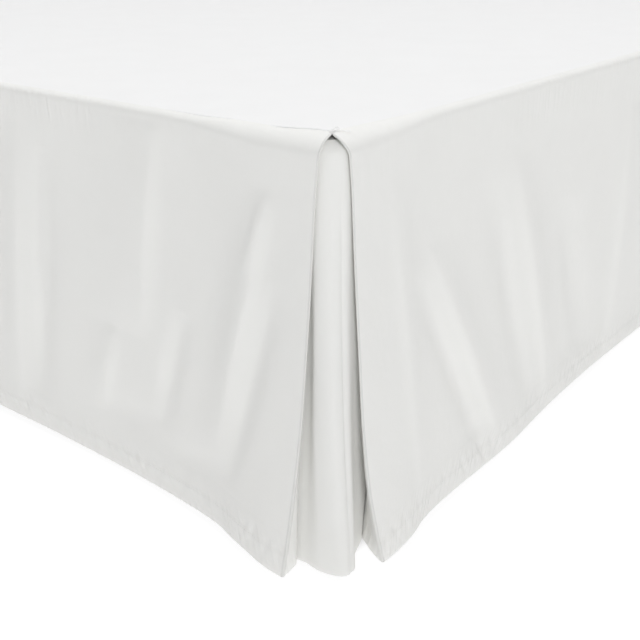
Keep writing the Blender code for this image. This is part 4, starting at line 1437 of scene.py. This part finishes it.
class BEDSKIRT_OT_stage(bpy.types.Operator):
    """Makes the pale floor, the soft lights and the camera"""

    bl_idname = "bedskirt.stage"
    bl_label = "Studio"

    def execute(self, context):
        scene = context.scene
        shape = bmesh.new()
        bmesh.ops.create_grid(shape, x_segments=1, y_segments=1, size=FLOOR_HALF_SIZE)
        wire, shader, material = new_material("Studio floor")
        grain = wire.noise(wire.object_place(), 3.0)
        wire.put(shader["Base Color"], wire.mix(grain, *(shaded((1, 1, 1), grey) for grey in FLOOR_GREYS)))
        shader["Roughness"].default_value = 0.9
        shader["Specular IOR Level"].default_value = 0.1
        shader["Emission Color"].default_value = (1.0, 1.0, 1.0, 1.0)
        across, back, _ = wire.parts(wire.object_place())
        beside = wire.spread(wire.math("ABSOLUTE", across), HALF_WIDTH - UNLIT_INSET, HALF_WIDTH)
        before = wire.spread(back, FOOT_LINE + UNLIT_INSET, FOOT_LINE)
        beyond = wire.spread(back, BOX_HIGH.y - UNLIT_INSET, BOX_HIGH.y)
        open_floor = wire.math("MAXIMUM", beside, wire.math("MAXIMUM", before, beyond))
        wire.put(shader["Emission Strength"], wire.math("MULTIPLY", open_floor, FLOOR_GLOW))
        floor = make_object("studio_floor", mesh_of("studio_floor", shape), material, body=None)

        world = bpy.data.worlds.new("Studio")
        scene.world = world
        world.use_nodes = True
        background = world.node_tree.nodes["Background"]
        background.inputs["Color"].default_value = (1.0, 1.0, 1.0, 1.0)
        background.inputs["Strength"].default_value = WORLD_STRENGTH

        for lamp in LAMPS:
            light = bpy.data.lights.new(lamp.name, lamp.kind)
            setattr(light, "angle" if lamp.kind == "SUN" else "size", lamp.size)
            light.energy = lamp.power
            stand = bpy.data.objects.new(lamp.name, light)
            stand.location = lamp.place
            aim = Vector(LAMP_AIM) - Vector(lamp.place)
            stand.rotation_euler = aim.to_track_quat("-Z", "Y").to_euler()
            scene.collection.objects.link(stand)

        camera = bpy.data.cameras.new("Camera")
        camera.sensor_width = SENSOR_WIDTH
        camera.lens = CAMERA_FOCAL_PIXELS * SENSOR_WIDTH / PICTURE_WIDTH
        right = Vector((math.cos(CAMERA_YAW), math.sin(CAMERA_YAW), 0))
        level = Vector((-math.sin(CAMERA_YAW), math.cos(CAMERA_YAW), 0))
        forward = level * math.cos(CAMERA_PITCH) - Vector((0, 0, math.sin(CAMERA_PITCH)))
        upward = right.cross(forward)
        corner = Vector((HALF_WIDTH + CORNER_POST, FOOT_LINE - CORNER_POST, 0))
        place = corner + right * CAMERA_ACROSS - level * CAMERA_BACK
        place.z = CAMERA_HEIGHT
        turned = Matrix((right, upward, -forward)).transposed().to_4x4()
        seat = bpy.data.objects.new("Camera", camera)
        seat.matrix_world = Matrix.Translation(place) @ turned @ Matrix.Rotation(-CAMERA_ROLL, 4, "Z")
        scene.collection.objects.link(seat)
        scene.camera = seat
        scene.view_settings.view_transform = "Standard"
        return {"FINISHED"}


class BEDSKIRT_PT_sidebar(bpy.types.Panel):
    """Lists the settings and the steps"""

    bl_label = "Bed skirt"
    bl_idname = "BEDSKIRT_PT_sidebar"
    bl_space_type = "VIEW_3D"
    bl_region_type = "UI"
    bl_category = "Bed skirt"

    def draw(self, context):
        for name in BedSkirtSettings.__annotations__:
            self.layout.prop(context.scene.bed_skirt, name)
        for step in STEPS:
            self.layout.operator(step.bl_idname)


STEPS = (
    BEDSKIRT_OT_deck,
    BEDSKIRT_OT_panels,
    BEDSKIRT_OT_pleats,
    BEDSKIRT_OT_stitches,
    BEDSKIRT_OT_tack,
    BEDSKIRT_OT_base,
    BEDSKIRT_OT_stage,
)


def register():
    for item in (BedSkirtSettings, *STEPS, BEDSKIRT_PT_sidebar):
        bpy.utils.register_class(item)
    bpy.types.Scene.bed_skirt = PointerProperty(type=BedSkirtSettings)


def unregister():
    del bpy.types.Scene.bed_skirt
    for item in (BEDSKIRT_PT_sidebar, *reversed(STEPS), BedSkirtSettings):
        bpy.utils.unregister_class(item)


def main():
    register()
    bpy.ops.bedskirt.deck()
    bpy.ops.bedskirt.panels()
    bpy.ops.bedskirt.pleats()
    bpy.ops.bedskirt.stitches()
    bpy.ops.bedskirt.tack()
    bpy.ops.bedskirt.base()
    bpy.ops.bedskirt.stage()


if __name__ == "__main__":
    main()
